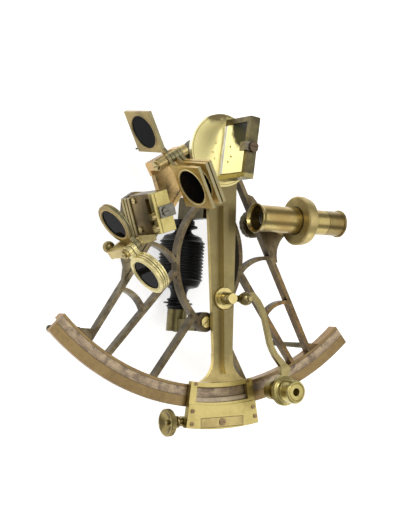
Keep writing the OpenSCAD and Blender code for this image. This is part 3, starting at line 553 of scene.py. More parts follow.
@dataclass(frozen=True)
class PlateFinish(BrassFinish):
    """Brass plate with a dark joint round the cover that is let into it."""

    turn: float = ARM_ANGLE
    middle: tuple[float, float] = (-0.0007, -0.2234)
    half: tuple[float, float] = (0.0209, 0.0039)
    joint: float = 0.00032
    line: Colour = (0.07, 0.055, 0.028)

    def overlay(self, g: Surface, colour: Socket) -> Socket:
        """Draws the joint, a rectangle that lies along the arm.

        Args:
            g: The material's graph.
            colour: The finished colour.

        Returns:
            The colour with its marks.
        """
        local = g.add("Mapping", {"Vector": g.place, "Rotation": (0.0, 0.0, math.radians(-self.turn))})
        apart = g.split(local.outputs[0])
        reach = [g.math("SUBTRACT", g.math("ABSOLUTE", g.math("SUBTRACT", apart[k], self.middle[k])),
                        self.half[k]) for k in range(2)]
        off = g.math("ABSOLUTE", g.math("MAXIMUM", *reach))
        return g.mix(g.remap(off, self.joint * 0.6, self.joint, 0.85, 0.0), colour, self.line)


@dataclass(frozen=True)
class ScaleFinish(BrassFinish):
    """Silvered metal with engraved divisions along an arc about the pivot."""

    ink: Colour = (0.035, 0.028, 0.022)
    zero: float = 38.5
    ticks: tuple = ((2.5, 0.1983, 0.16), (0.5, 0.2002, 0.12), (1 / 6, 0.2013, 0.09))
    outer: float = 0.2031
    outward: bool = False

    def overlay(self, g: Surface, colour: Socket) -> Socket:
        """Adds the divisions: each is (step in degrees, radius it starts at, width in mm).

        Args:
            g: The material's graph.
            colour: The finished colour.

        Returns:
            The colour with its marks.
        """
        apart, reach = g.split(g.place), g.reach()
        angle = g.math("ARCTAN2", apart[0], g.times(apart[1], -1.0))
        degrees = g.math("SUBTRACT", g.times(angle, 180.0 / math.pi), self.zero)
        mask = 0.0
        side = "LESS_THAN" if self.outward else "GREATER_THAN"
        for step, start, width in self.ticks:
            turns = g.math("DIVIDE", degrees, step)
            off = g.math("ABSOLUTE", g.math("SUBTRACT", turns, g.math("ROUND", turns)))
            half = width * MM / 2 / (math.radians(step) * start)
            line = g.times(g.math("LESS_THAN", off, half), g.math(side, reach, start))
            mask = g.math("MAXIMUM", mask, line)
        if not self.outward:
            mask = g.times(mask, g.math("LESS_THAN", reach, self.outer))
        return g.mix(g.times(mask, 0.85), colour, self.ink)


@dataclass(frozen=True)
class EbonyFinish(Finish):
    """Oiled black wood with a fine, barely lighter grain."""

    wood: Colour = (0.0042, 0.0042, 0.0050)
    pore: Colour = (0.012, 0.010, 0.010)
    rubbed: Colour = (0.022, 0.020, 0.020)
    stretch: Point = (900.0, 45.0, 900.0)
    relief: float = 0.00008
    rough: float = 0.34

    def paint(self, g: Surface) -> None:
        """Joins the grain and the handled gloss to the shader.

        Args:
            g: The material's graph.
        """
        grain = g.noise(g.vector("MULTIPLY", g.place, self.stretch), 1.0, 5.0, 0.6)
        colour = g.mix(g.remap(grain, 0.5, 0.75), self.wood, self.pore)
        handled = g.noise(g.place, 120.0, 4.0)
        bump = g.add("Bump", {"Strength": 0.2, "Distance": self.relief, "Height": grain})
        g.fill(g.shader, {
            "Base Color": g.mix(g.times(g.edge(), 0.4), colour, self.rubbed),
            "Roughness": g.remap(handled, 0.3, 0.7, self.rough - 0.08, self.rough + 0.14),
            "Normal": bump.outputs[0], "Specular IOR Level": 0.22,
        })


@dataclass(frozen=True)
class InkFinish(Finish):
    """Black wax in engraved figures, thin in places."""

    ink: Colour = (0.030, 0.025, 0.020)
    thin: Colour = (0.12, 0.095, 0.065)

    def paint(self, g: Surface) -> None:
        """Joins the thinned wax to the shader.

        Args:
            g: The material's graph.
        """
        worn = g.remap(g.noise(g.place, 900.0, 3.0), 0.5, 0.75)
        g.fill(g.shader, {"Base Color": g.mix(worn, self.ink, self.thin),
                          "Roughness": g.remap(worn, 0.0, 1.0, 0.55, 0.4)})


@dataclass(frozen=True)
class MirrorFinish(Finish):
    """Silvered glass with specks, dark round one corner."""

    silver: Colour = (0.90, 0.90, 0.88)
    stain: Colour = (0.42, 0.40, 0.33)
    corner_dark: Colour = (0.035, 0.036, 0.030)
    corner: Point = (0.0012, 0.0215, 0.1015)
    reach: float = 0.0255
    rough: float = 0.015

    def paint(self, g: Surface) -> None:
        """Joins the specks and the dark corner to the shader.

        Args:
            g: The material's graph.
        """
        blot = g.remap(g.noise(g.place, 160.0, 6.0, 0.65), 0.66, 0.78)
        torn = g.times(g.math("SUBTRACT", g.noise(g.place, 300.0, 5.0), 0.5), 0.006)
        ragged = g.math("ADD", g.vector("DISTANCE", g.place, self.corner), torn)
        darkened = g.remap(ragged, self.reach * 0.8, self.reach, 1.0, 0.0)
        g.fill(g.shader, {
            "Base Color": g.mix(darkened, g.mix(blot, self.silver, self.stain), self.corner_dark),
            "Roughness": g.blend(g.math("MAXIMUM", blot, darkened), self.rough, 0.3), "Metallic": 1.0,
        })


@dataclass(frozen=True)
class GlassFinish(Finish):
    """Glass, clear or so dark that it only shows its gloss."""

    tint: Colour
    clear: float = 1.0
    rough: float = 0.03
    dust: float = 0.04
    dust_tint: Colour = (0.35, 0.33, 0.30)
    gloss: float = 0.5

    def paint(self, g: Surface) -> None:
        """Joins the tint under a thin film of dust to the shader.

        Args:
            g: The material's graph.
        """
        film = g.remap(g.noise(g.place, 220.0, 5.0, 0.6), 0.45, 0.75)
        g.fill(g.shader, {
            "Base Color": g.mix(g.times(film, self.dust), self.tint, self.dust_tint),
            "Roughness": g.remap(film, 0.0, 1.0, self.rough, self.rough + 0.10),
            "Transmission Weight": self.clear, "Specular IOR Level": self.gloss, "IOR": 1.5,
        })


# ---- modelling
def deselect() -> None:
    """Leaves nothing selected or active."""
    if bpy.context.mode != "OBJECT":
        bpy.ops.object.mode_set(mode="OBJECT")
    bpy.ops.object.select_all(action="DESELECT")


def take(piece: Object) -> None:
    """Makes one piece the only selected and active object.

    Args:
        piece: The piece.
    """
    deselect()
    piece.select_set(True)
    bpy.context.view_layer.objects.active = piece


def apply_modifier(piece: Object, kind: str, **settings: object) -> None:
    """Adds a modifier, sets it and applies it.

    Args:
        piece: The object to change.
        kind: The modifier's type.
        settings: Attributes of the modifier.
    """
    take(piece)
    modifier = piece.modifiers.new(kind.lower(), kind)
    for name, value in settings.items():
        setattr(modifier, name, value)
    bpy.ops.object.modifier_apply(modifier=modifier.name)


def mark_edges(piece: Object, slot_index: int) -> None:
    """Writes the attribute `edge`, 1 along the middle of each rounded edge.

    Args:
        piece: The rounded piece.
        slot_index: The material index that the rounding gave its own faces.
    """
    mesh = piece.data
    inside = [0] * len(mesh.vertices)
    count = [0] * len(mesh.vertices)
    for face in mesh.polygons:
        for index in face.vertices:
            count[index] += 1
            inside[index] += face.material_index == slot_index
        face.material_index = 0
    layer = mesh.attributes.new("edge", "FLOAT", "POINT")
    layer.data.foreach_set("value", [float(a == b) for a, b in zip(inside, count)])


def place(piece: Object, matrix: Matrix) -> None:
    """Moves a piece and puts the move into its mesh.

    Args:
        piece: The piece.
        matrix: Its placement.
    """
    piece.matrix_world = matrix
    take(piece)
    bpy.ops.object.transform_apply(location=True, rotation=True, scale=True)


def axis_place(origin: Sequence[float], towards: Sequence[float]) -> Matrix:
    """Gives the placement that lays a piece's Z along a direction from an origin."""
    return Matrix.Translation(Vector(origin)) @ Vector(towards).to_track_quat("Z", "Y").to_matrix().to_4x4()


def merge() -> None:
    """Joins the vertices that lie on each other, in edit mode."""
    bpy.ops.mesh.select_all(action="SELECT")
    bpy.ops.mesh.remove_doubles(threshold=MERGE)


def turned(name: str, profile: Sequence[tuple[float, float]], segments: int = 96,
           closed: bool = True) -> Object:
    """Turns a piece about Z by drawing a ring along a profile.

    Args:
        name: The piece's name.
        profile: (radius, height) pairs in millimetres; a loop, or a line whose ends are capped.
        segments: The number of steps round.
        closed: Whether the profile's end joins its start, which leaves a bore.

    Returns:
        The piece, standing on the origin.
    """
    deselect()
    radius, height = profile[0]
    bpy.ops.mesh.primitive_circle_add(vertices=segments, radius=radius * MM, location=(0, 0, height * MM),
                                      fill_type="NOTHING" if closed else "NGON")
    piece = bpy.context.object
    piece.name = name
    bpy.ops.object.transform_apply(location=True)
    bpy.ops.object.mode_set(mode="EDIT")
    bpy.ops.mesh.select_all(action="SELECT")
    extrude = bpy.ops.mesh.extrude_edges_move if closed else bpy.ops.mesh.extrude_region_move
    for new_radius, new_height in list(profile[1:]) + (list(profile[:1]) if closed else []):
        extrude(TRANSFORM_OT_translate={"value": (0, 0, (new_height - height) * MM)})
        share = new_radius / radius
        bpy.ops.transform.resize(value=(share, share, 1.0), center_override=(0, 0, new_height * MM))
        radius, height = new_radius, new_height
    merge()
    bpy.ops.mesh.normals_make_consistent(inside=False)
    bpy.ops.object.mode_set(mode="OBJECT")
    return piece


def knurl(piece: Object, low: float, high: float, radius: float, depth: float) -> None:
    """Cuts a milled band, two rows high, into a turned piece that still stands about Z.

    Args:
        piece: The turned piece.
        low: Lower end of the band, in millimetres.
        high: Upper end of the band.
        radius: The band's radius.
        depth: Height of the little studs.
    """
    slack, inner, slope, gap = 0.01, 0.985, 0.2, 0.10

    def select_band() -> None:
        """Selects the band's faces and stays in edit mode."""
        take(piece)
        bpy.ops.object.mode_set(mode="EDIT")
        bpy.ops.mesh.select_mode(type="FACE")
        bpy.ops.mesh.select_all(action="DESELECT")
        bpy.ops.object.mode_set(mode="OBJECT")
        for face in piece.data.polygons:
            c = face.center / MM
            face.select = (low - slack < c.z < high + slack and math.hypot(c.x, c.y) > radius * inner
                           and abs(face.normal.z) < slope)
        bpy.ops.object.mode_set(mode="EDIT")

    select_band()
    bpy.ops.mesh.subdivide(number_cuts=1, quadcorner="INNERVERT")
    select_band()
    bpy.ops.mesh.inset(use_individual=True, thickness=gap * MM, depth=depth * MM)
    bpy.ops.object.mode_set(mode="OBJECT")


def bevelled(piece: Object, width: float = 0.2, angle: float = 30.0) -> None:
    """Rounds a piece's sharp edges, marks them and shades it.

    Args:
        piece: The piece.
        width: Width of the rounding in millimetres.
        angle: Edges sharper than this many degrees are rounded.
    """
    piece.data.materials.clear()
    for _ in range(2):
        piece.data.materials.append(None)
    apply_modifier(piece, "BEVEL", width=width * MM, segments=2, limit_method="ANGLE",
                   angle_limit=math.radians(angle), material=1, use_clamp_overlap=True,
                   miter_outer="MITER_ARC")
    mark_edges(piece, 1)
    take(piece)
    bpy.ops.object.shade_smooth_by_angle(angle=math.radians(SHARP))
    apply_modifier(piece, "WEIGHTED_NORMAL", mode="FACE_AREA", keep_sharp=True, weight=100)


class Shop:
    def __init__(self, frame: dict) -> None:
        """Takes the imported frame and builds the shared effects.
        """
        self.frame = frame
        Effects()
        self.materials: dict[str, Material] = {}
        self.body_of = {
            node: body
            for body, nodes in frame["record"]["behaviour"]["bodies"].items()
            for node in nodes
        }

    def finish(self, piece: Object, finish: Finish, body: str, *nodes: str) -> None:
        """Dresses a piece, lets it ride on a body and stand for CAD nodes.

        Args:
            piece: The piece, in its place.
            finish: The finish it wears.
            body: The body it moves with.
            nodes: The CAD nodes it stands for.
        """
        if finish.name not in self.materials:
            self.materials[finish.name] = finish.material()
        piece.data.materials.clear()
        piece.data.materials.append(self.materials[finish.name])
        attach(piece, body)
        if nodes:
            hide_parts(*nodes)
        log.info("%s: %d faces, rides on %s", piece.name, len(piece.data.polygons), body)

    def refine(self, node: str, finish: Finish, width: float) -> None:
        """Copies a CAD node, rounds its sharp edges and dresses the copy.

        Args:
            node: The CAD node.
            finish: The finish it wears.
            width: Width of the rounding in millimetres.
        """
        source = self.frame["nodes"][node]
        piece = source.copy()
        piece.data = source.data.copy()
        piece.name = node + "_shown"
        piece.parent = None
        for key in list(piece.keys()):
            del piece[key]
        bpy.context.scene.collection.objects.link(piece)
        take(piece)
        bpy.ops.object.mode_set(mode="EDIT")
        merge()
        bpy.ops.mesh.dissolve_limited(angle_limit=math.radians(FLAT))
        bpy.ops.object.mode_set(mode="OBJECT")
        bevelled(piece, width, ROUNDED)
        self.finish(piece, finish, self.body_of[node], node)


BRIGHT = BrassFinish(
    "bright_brass", (0.66, 0.55, 0.235), (0.46, 0.37, 0.14), dull=0.5, rough=0.26, rough_dull=0.38,
    marks=0.35, dents=0.35)
PLATE = PlateFinish(
    "plate_brass", (0.57, 0.465, 0.175), (0.43, 0.335, 0.12), blotch=40.0, grime_and_shade=1.0, rough_dull=0.38,
    dents=0.3, draw=Draw.ALONG_X, side=0.6)
COVER = PlateFinish(
    "cover_brass", (0.52, 0.405, 0.165), (0.36, 0.265, 0.11), blotch=70.0, dull=0.7, grime_and_shade=1.0,
    rough_dull=0.38)
KNOB = BrassFinish(
    "knob_brass", (0.31, 0.245, 0.095), (0.17, 0.13, 0.05), blotch=80.0, dull=0.7, grime_and_shade=1.0, rough=0.26,
    rough_dull=0.38, metal=0.9)
WARM = BrassFinish(
    "warm_brass", (0.27, 0.188, 0.056), (0.115, 0.075, 0.025), blotch=70.0, dull=0.8, grime_and_shade=1.0, rough=0.3,
    rough_dull=0.4, metal=0.75, lacquer=0.9, side=0.8)
SCREW = BrassFinish(
    "screw_bronze", (0.34, 0.235, 0.125), (0.18, 0.12, 0.06), slot="screw_brass", blotch=160.0, grime_and_shade=1.2,
    rough=0.27)
OLIVE = BrassFinish(
    "olive_brass", (0.35, 0.285, 0.125), (0.2, 0.16, 0.065), dull=0.7, grime_and_shade=0.9, rough_dull=0.4)
# The mirror frame's brass is darkened as painted shade, with a painted highlight on its pale band near the
# arm.
MIRROR_BRASS = LayeredFinish(
    "mirror_frame_brass", (0.135, 0.112, 0.052), (0.065, 0.054, 0.028), blotch=80.0, dull=0.8, rough=0.32,
    metal=0.75, side=1.3, height=0.00865, above=False, other=(0.5, 0.49, 0.44), low=-0.0214)
CLIP = LayeredFinish(
    "clip_steel_dark_screw", (0.19, 0.165, 0.12), (0.09, 0.075, 0.055), slot="clip_steel", blotch=140.0,
    dull=0.5, grime_and_shade=1.0, rough=0.24, height=0.04545, other=(0.115, 0.075, 0.045))
ARM = HeadFinish(
    "arm_brass", (0.3, 0.24, 0.095), (0.205, 0.16, 0.062), blotch=45.0, dull=0.55, grime_and_shade=0.4, rough=0.4,
    rough_dull=0.46, marks=0.9, dents=0.3, draw=Draw.ALONG_Y, metal=0.55, lacquer=0.8, side=2.2)
TUBE = BrassFinish(
    "tube_brass", (0.43, 0.34, 0.13), (0.33, 0.2, 0.062), blotch=45.0, rough_dull=0.4, marks=0.8, dents=0.25,
    draw=Draw.RINGS_X)
DRAW_TUBE = replace(TUBE, name="draw_tube_brass", clean=(0.275, 0.212, 0.08), tarnish=(0.21, 0.132, 0.042))
COLLAR = BrassFinish(
    "collar_brass", (0.6, 0.475, 0.185), (0.32, 0.23, 0.09), blotch=55.0, rough=0.34, marks=0.6,
    draw=Draw.RINGS_X, metal=0.6, lacquer=0.8)
LIMB = BezelFinish(
    "limb_brass", (0.33, 0.2, 0.078), (0.175, 0.116, 0.052), slot="frame_brass", blotch=38.0, wear_and_highlight=0.9,
    rough=0.34, rough_dull=0.46, dents=0.6, edge=(0.27, 0.185, 0.08))
LATTICE = LatticeFinish(
    "lattice_brass", (0.185, 0.145, 0.078), (0.08, 0.056, 0.03), slot="frame_brass", dull=0.85, wear_and_highlight=1.3,
    rough=0.36, rough_dull=0.5, dents=0.8, metal=0.8, side=0.62)
# The ear's hinge barrel is painted lighter on top as a painted highlight.
EAR = LayeredFinish(
    "ear_brass", (0.66, 0.425, 0.175), (0.46, 0.29, 0.115), slot="frame_brass", blotch=50.0, dull=0.45,
    rough=0.32, metal=0.6, lacquer=0.8, height=0.0106, other=(0.66, 0.54, 0.24))
AXIS = BrassFinish(
    "axis_brass", (0.84, 0.725, 0.315), (0.62, 0.52, 0.21), slot="screw_brass", blotch=80.0, dull=0.2,
    grime_and_shade=0.3, rough=0.4, draw=Draw.RINGS_Z)
CAP = BrassFinish("cap_brass", (0.5, 0.42, 0.155), (0.3, 0.235, 0.08), grime_and_shade=0.9, rough_dull=0.4)
GOLD = BezelFinish(
    "shade_brass", (0.7, 0.47, 0.115), (0.4, 0.265, 0.075), grime_and_shade=1.0, rough=0.32, metal=0.25, lacquer=0.5)
# A darker copy of the shade brass: painted shade for the turned-over and the raised shades.
GOLD_SHADED = BezelFinish(
    "shade_brass_in_shadow", (0.4, 0.295, 0.1), (0.19, 0.14, 0.05), grime_and_shade=1.0, rough=0.32, metal=0.5,
    lacquer=0.75)
RIM = BrassFinish(
    "rim_brass", (0.93, 0.81, 0.39), (0.66, 0.54, 0.22), blotch=110.0, dull=0.5, grime_and_shade=1.0, rough=0.26,
    rough_dull=0.36, metal=0.35, lacquer=0.7)
SMALL = BrassFinish(
    "fitting_brass", (0.5, 0.4, 0.18), (0.28, 0.22, 0.085), slot="screw_brass", blotch=120.0, grime_and_shade=0.9,
    rough=0.27)
SMALL_DULL = BrassFinish("ferrule_brass", (0.2, 0.165, 0.07), (0.1, 0.08, 0.034), blotch=90.0, rough=0.34)
DARK = BrassFinish(
    "dark_brass", (0.095, 0.078, 0.036), (0.042, 0.034, 0.018), slot="dark_brass", blotch=80.0, rough=0.38,
    rough_dull=0.5)
STEEL = BrassFinish(
    "clip_steel", (0.2, 0.19, 0.15), (0.085, 0.08, 0.064), slot="clip_steel", blotch=140.0, grime_and_shade=1.0,
    wear_and_highlight=1.3, rough=0.24)
SCALE = ScaleFinish(
    "silver_scale", (0.43, 0.33, 0.21), (0.2, 0.148, 0.108), slot="silver", blotch=130.0, dull=0.85,
    grime_and_shade=1.0, rough=0.34, rough_dull=0.46)
VERNIER = ScaleFinish(
    "silver_vernier", (0.5, 0.41, 0.28), (0.32, 0.25, 0.18), slot="silver", rough=0.34, zero=0.12,
    ticks=((2.46, 0.2066, 0.15), (0.492, 0.2052, 0.11), (0.164, 0.2045, 0.08)), outward=True)
INK = InkFinish("engraving", slot="silver")
EBONY = EbonyFinish("ebony", slot="ebony")
MIRROR = MirrorFinish("mirror", slot="mirror")
SHADE_GLASS = GlassFinish(
    "shade_glass", (0.0012, 0.0015, 0.0032), slot="filter_glass", clear=0.0, rough=0.05, dust=0.005,
    gloss=0.04)
LENS = GlassFinish("lens_glass", (0.82, 0.88, 0.9), slot="lens_glass")


# ---- sub-assemblies
@dataclass
class Assembly:
    """A sub-assembly: its refined CAD nodes, then the pieces it models itself."""

    shop: Shop
    refined: ClassVar[tuple] = ()  # (node, finish, width of the rounding) of each

    def build(self) -> None:
        """Dresses the nodes, then adds the modelled pieces."""
        for node, finish, width in self.refined:
            self.shop.refine(node, finish, width)
        self.model()

    def model(self) -> None:
        """Models the sub-assembly's own pieces; some have none."""


@dataclass
class Arc(Assembly):
    """The limb, its silver scale and the figures on it."""

    refined = (("limb", LIMB, 0.55), ("scale_inlay", SCALE, 0.08))
    zero: float = 38.5
    figure_step: float = 5.0
    figure_radius: float = 0.1974
    figure_size: float = 0.00297
    figures: int = 16
    lift: float = 0.00002

    def model(self) -> None:
        """Sets plain numbers, ten for every five degrees of arc, on the silver strip."""
        made = []
        for index in range(self.figures):
            angle = math.radians(self.zero - index * self.figure_step)
            deselect()
            bpy.ops.object.text_add()
            text = bpy.context.object
            text.data.body = str(index * 10)
            text.data.size = self.figure_size
            text.data.align_x, text.data.align_y = "CENTER", "CENTER"
            text.data.resolution_u = 2
            bpy.ops.object.convert(target="MESH")
            spot = (self.figure_radius * math.sin(angle), -self.figure_radius * math.cos(angle),
                    STAND + self.lift)
            place(text, Matrix.Translation(spot) @ Matrix.Rotation(angle, 4, "Z"))
            made.append(text)
        deselect()
        for text in made:
            text.select_set(True)
        bpy.context.view_layer.objects.active = made[0]
        bpy.ops.object.join()
        figures = bpy.context.object
        figures.name = "scale_figures"
        self.shop.finish(figures, INK, "frame")


@dataclass
class Lattice(Assembly):
    """The cast frame with its feet, bearing and fixed fittings."""

    refined = (
        ("frame", LATTICE, 0.5), ("lower_feet", DARK, 0.3), ("apex_foot", DARK, 0.3),
        ("centre_bearing", DARK, 0.3), ("axis_nut", DARK, 0.3), ("frame_screws", BRIGHT, 0.25),
        ("centre_axis", AXIS, 0.1), ("stem_socket", SMALL, 0.2), ("index_shade_bracket", EAR, 0.3),
        ("horizon_shade_bracket", COLLAR, 0.25), ("shade_pins", SMALL, 0.2))
    knob_at: Point = (-0.0806, -0.0924, STAND - 0.0064)
    knob_turn: float = -15.0
    knob_step: int = 8

    def model(self) -> None:
        """Turns the knob with its two balls, beside the horizon shades."""
        profile = [(3.4, 0.0), (3.4, 0.6)]
        for size, middle, first, last in ((4.3, 4.1, -50, 52), (4.9, 12.0, -56, 88)):
            profile += [(size * math.cos(math.radians(a)), middle + size * math.sin(math.radians(a)))
                        for a in range(first, last, self.knob_step)]
        knob = turned("shade_knob_turned", profile, 72, closed=False)
        bevelled(knob, 0.15)
        turn = math.radians(self.knob_turn)
        place(knob, axis_place(self.knob_at, (-math.cos(turn), -math.sin(turn), 0.0)))
        self.shop.finish(knob, KNOB, "frame", "shade_knob")


@dataclass
class Grip(Assembly):
    """The turned ebony handle and its two brackets."""

    # the upper handle bracket wears dark brass as painted shade
    refined = (("handle_bracket_top", DARK, 0.4), ("handle_bracket_bottom", SMALL_DULL, 0.4),
               ("handle_rod", SMALL, 0.3))
    axis_x: float = -0.0015
    axis_z: float = STAND - 0.042
    radius: float = 19.2
    groove: float = 1.2
    ribs: int = 12
    top: float = -70.0
    bottom: float = -112.0

    def model(self) -> None:
        """Turns the grip, with its thin discs and sharp ribs."""
        inner = self.radius - self.groove
        pitch = (self.top - self.bottom - 8) / self.ribs
        profile = [(2.54, -132.5), (8.6, -132.5), (9.0, -130.8), (9.8, -130.2), (9.8, -129.2), (8.4, -128.6),
                   (8.6, -128.1), (12.4, -127.8), (12.4, -126.6), (8.6, -126.2), (8.4, -125.7), (9.8, -125.0),
                   (9.8, -124.0), (7.6, -123.0), (7.0, -121.0), (7.0, -119.0), (7.4, -117.0),
                   (8.2, -115.3), (10.0, -114.3), (13.0, -113.6), (15.6, -112.6), (inner - 1, -110.4)]
        for rib in range(self.ribs):
            foot = self.bottom + 4 + rib * pitch
            profile += [(inner, foot + 0.16 * pitch), (self.radius, foot + 0.38 * pitch),
                        (self.radius, foot + 0.66 * pitch), (inner, foot + 0.90 * pitch)]
        profile += [(inner - 1.2, -72.6), (16.0, -70.6), (13.4, -69.2), (9.4, -68.0), (7.6, -66.6),
                    (7.0, -65.2), (7.2, -64.4), (8.0, -64.0), (12.0, -62.8), (12.0, -61.2), (9.4, -60.5),
                    (9.4, -58.6), (9.0, -56.3), (2.54, -56.3)]
        handle = turned("handle_turned", profile)
        bevelled(handle, 0.18, 24.0)
        place(handle, axis_place((self.axis_x, 0.0, self.axis_z), (0.0, 1.0, 0.0)))
        self.shop.finish(handle, EBONY, "frame", "handle")


@dataclass
class IndexArm(Assembly):
    """The swinging arm, its vernier and the index glass."""

    refined = (
        ("index_arm", ARM, 0.6), ("vernier_frame", PLATE, 0.45), ("vernier_scale", VERNIER, 0.06),
        ("slide_cover", COVER, 0.3), ("arm_screws", SCREW, 0.12), ("index_mirror_frame", MIRROR_BRASS, 0.45),
        ("index_mirror_glass", MIRROR, 0.15), ("index_mirror_clip", CLIP, 0.25),
        ("magnifier_post", BRIGHT, 0.25))


@dataclass
class Shades(Assembly):
    """The square and the round shades, each with its dark glass."""

    flipped: int = 2
    raised: int = 3
    lap: float = 0.35
    land: float = 0.75
    proud: float = 0.35
    margin: float = 0.3
    pin_at: Point = (-0.06101, -0.00450, 0.0375)

    def model(self) -> None:
        """Dresses every shade and its glass, and adds the rims and the turned-over shade's pin."""
        # The turned-over index shade and the raised horizon shade wear darker copies of the brass as painted
        # shade.
        for kind, count, odd, plain, shaded_rim, width in (("index", 4, self.flipped, GOLD, GOLD_SHADED, 0.35),
                                                        ("horizon", 3, self.raised, RIM, GOLD, 0.7)):
            for index in range(1, count + 1):
                glass = f"{kind}_filter_{index}"
                self.shop.refine(f"{kind}_shade_{index}", GOLD_SHADED if index == odd else plain, width)
                self.shop.refine(glass, SHADE_GLASS, 0.3)
                self.rim(glass, f"{kind}_rim_{index}", shaded_rim if index == odd else RIM)
        pin = turned("shade_lifting_pin", [(0.7, -0.8), (0.7, 4.8), (0.4, 5.2)], 24, closed=False)
        place(pin, axis_place(self.pin_at, (0.0, 0.0, -1.0)))
        self.shop.finish(pin, DARK, f"index_shade_{self.flipped}")

    def rim(self, glass: str, name: str, finish: Finish) -> None:
        """Turns the thin ring that holds a dark glass, on the side that faces down the sight line.

        Args:
            glass: The glass's CAD node.
            name: The ring's name.
            finish: The finish it wears.
        """
        low, high = (Vector(corner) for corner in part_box(glass))
        middle, radius = (low + high) / 2, (high.z - low.z) / 2 / MM
        nodes = self.shop.frame["nodes"]
        away = max(nodes[glass].data.polygons, key=lambda face: face.area).normal.copy()
        away = -away if away.x > 0 else away

        def aside(point: Vector) -> float:
            """Gives a point's distance from the glass's axis."""
            return ((point - middle) - away * (point - middle).dot(away)).length

        near = [vertex.co for vertex in nodes[glass.replace("filter", "shade")].data.vertices
                if aside(vertex.co) < (radius + self.margin) * MM]
        face = max(point.dot(away) for point in near)
        profile = [(radius - self.lap, 0.0), (radius - self.lap, self.proud * 0.5),
                   (radius - self.lap * 0.6, self.proud * 0.9), (radius, self.proud),
                   (radius + self.land * 0.6, self.proud * 0.9), (radius + self.land, self.proud * 0.4),
                   (radius + self.land, 0.0)]
        ring = turned(name, profile)
        bevelled(ring, 0.06, 40.0)
        place(ring, axis_place(middle + away * (face - middle.dot(away)), away))
        self.shop.finish(ring, finish, self.shop.body_of[glass])


@dataclass
class HorizonGlass(Assembly):
    """The fixed half-silvered glass with its frame, cap and screws."""

    refined = (
        ("horizon_base", OLIVE, 0.45), ("horizon_cap", CAP, 0.45), ("horizon_frame", WARM, 0.45),
        ("horizon_glass", MIRROR, 0.15), ("horizon_clip", STEEL, 0.25), ("horizon_screws", SMALL, 0.15))


@dataclass
class Telescope(Assembly):
    """The sighting telescope, its collar, stem and milled nut."""

    refined = (
        ("telescope_tube", TUBE, 0.15), ("draw_tube", DRAW_TUBE, 0.15), ("rising_stem", COLLAR, 0.3),
        # the rising nut wears dark brass as painted shade
        ("rising_nut", DARK, 0.2), ("objective_lens", LENS, 0.3), ("eye_lens", LENS, 0.3))
    tube_r: float = 11.0
    turn: float = 3.0
    collar_face: Point = (0.065007, -0.051862, 0.088)

    def build(self) -> None:
        """Adds a dark ring as painted shadow in the gap between the tube and the collar, then dresses the
        telescope.
        """
        # painted shadow: a dark ring on the collar's face round the tube
        joint = turned("collar_shadow_ring", [(self.tube_r, -0.4), (self.tube_r, 0.1), (self.tube_r + 0.9, 0.1),
                                        (self.tube_r + 0.9, -0.4)])
        turn = math.radians(self.turn)
        place(joint, axis_place(self.collar_face, (-math.cos(turn), -math.sin(turn), 0.0)))
        self.shop.finish(joint, DARK, "telescope")
        super().build()


@dataclass
class Magnifier(Assembly):
    """The jointed arm with the reading lens."""

    refined = (("magnifier_arm", OLIVE, 0.4), ("magnifier_holder", OLIVE, 0.4),
               ("magnifier_lens", LENS, 0.3))
    reach: float = 88.0
    reach_angle: float = 35.0
    post_radius: float = 122.0
    tube_r: float = 5.8
    drum_r: float = 12.0
    drum_z: float = 29.0

    def lens_at(self) -> tuple[float, float]:
        """Gives the middle of the lens tube, in millimetres.

        Returns:
            Its x and y.
        """
        post, lens = math.radians(ARM_ANGLE), math.radians(self.reach_angle)
        return (self.post_radius * math.sin(post) + self.reach * math.sin(lens),
                -self.post_radius * math.cos(post) - self.reach * math.cos(lens))

    def model(self) -> None:
        """Turns the lens tube with its milled drum."""
        r, d, big = self.tube_r, self.drum_z, self.drum_r
        profile = [(r - 1.2, 10.6), (r, 10.6), (r, d), (big - 0.6, d + 0.6), (big, d + 1.0), (big, d + 4.4),
                   (big - 0.8, d + 4.9), (big - 2, d + 5.4), (big - 2.6, d + 6.2), (big - 2.6, d + 7.6),
                   (big - 2, d + 8.6), (big - 2, d + 9.4), (big - 2.5, d + 9.8), (big - 2.5, d + 17.8),
                   (big - 2.9, d + 18.4), (big - 3.6, d + 19), (big - 4.4, d + 19), (big - 4.7, d + 18.3),
                   (big - 5.2, d + 18.3), (big - 5.5, d + 18.8), (3.4, d + 18.8), (3, d + 18.4),
                   (3, d + 17.4), (big - 4, d + 16), (big - 4, d + 4), (r - 0.8, d + 4),
                   (r - 0.8, d - 2), (r - 1.2, d - 2)]
        tube = turned("magnifier_tube_turned", profile)
        knurl(tube, d + 1.0, d + 4.4, big, 0.22)
        bevelled(tube, 0.15, 40.0)
        x, y = self.lens_at()
        place(tube, Matrix.Translation((x * MM, y * MM, STAND)))
        self.shop.finish(tube, CAP, "loupe", "magnifier_tube")


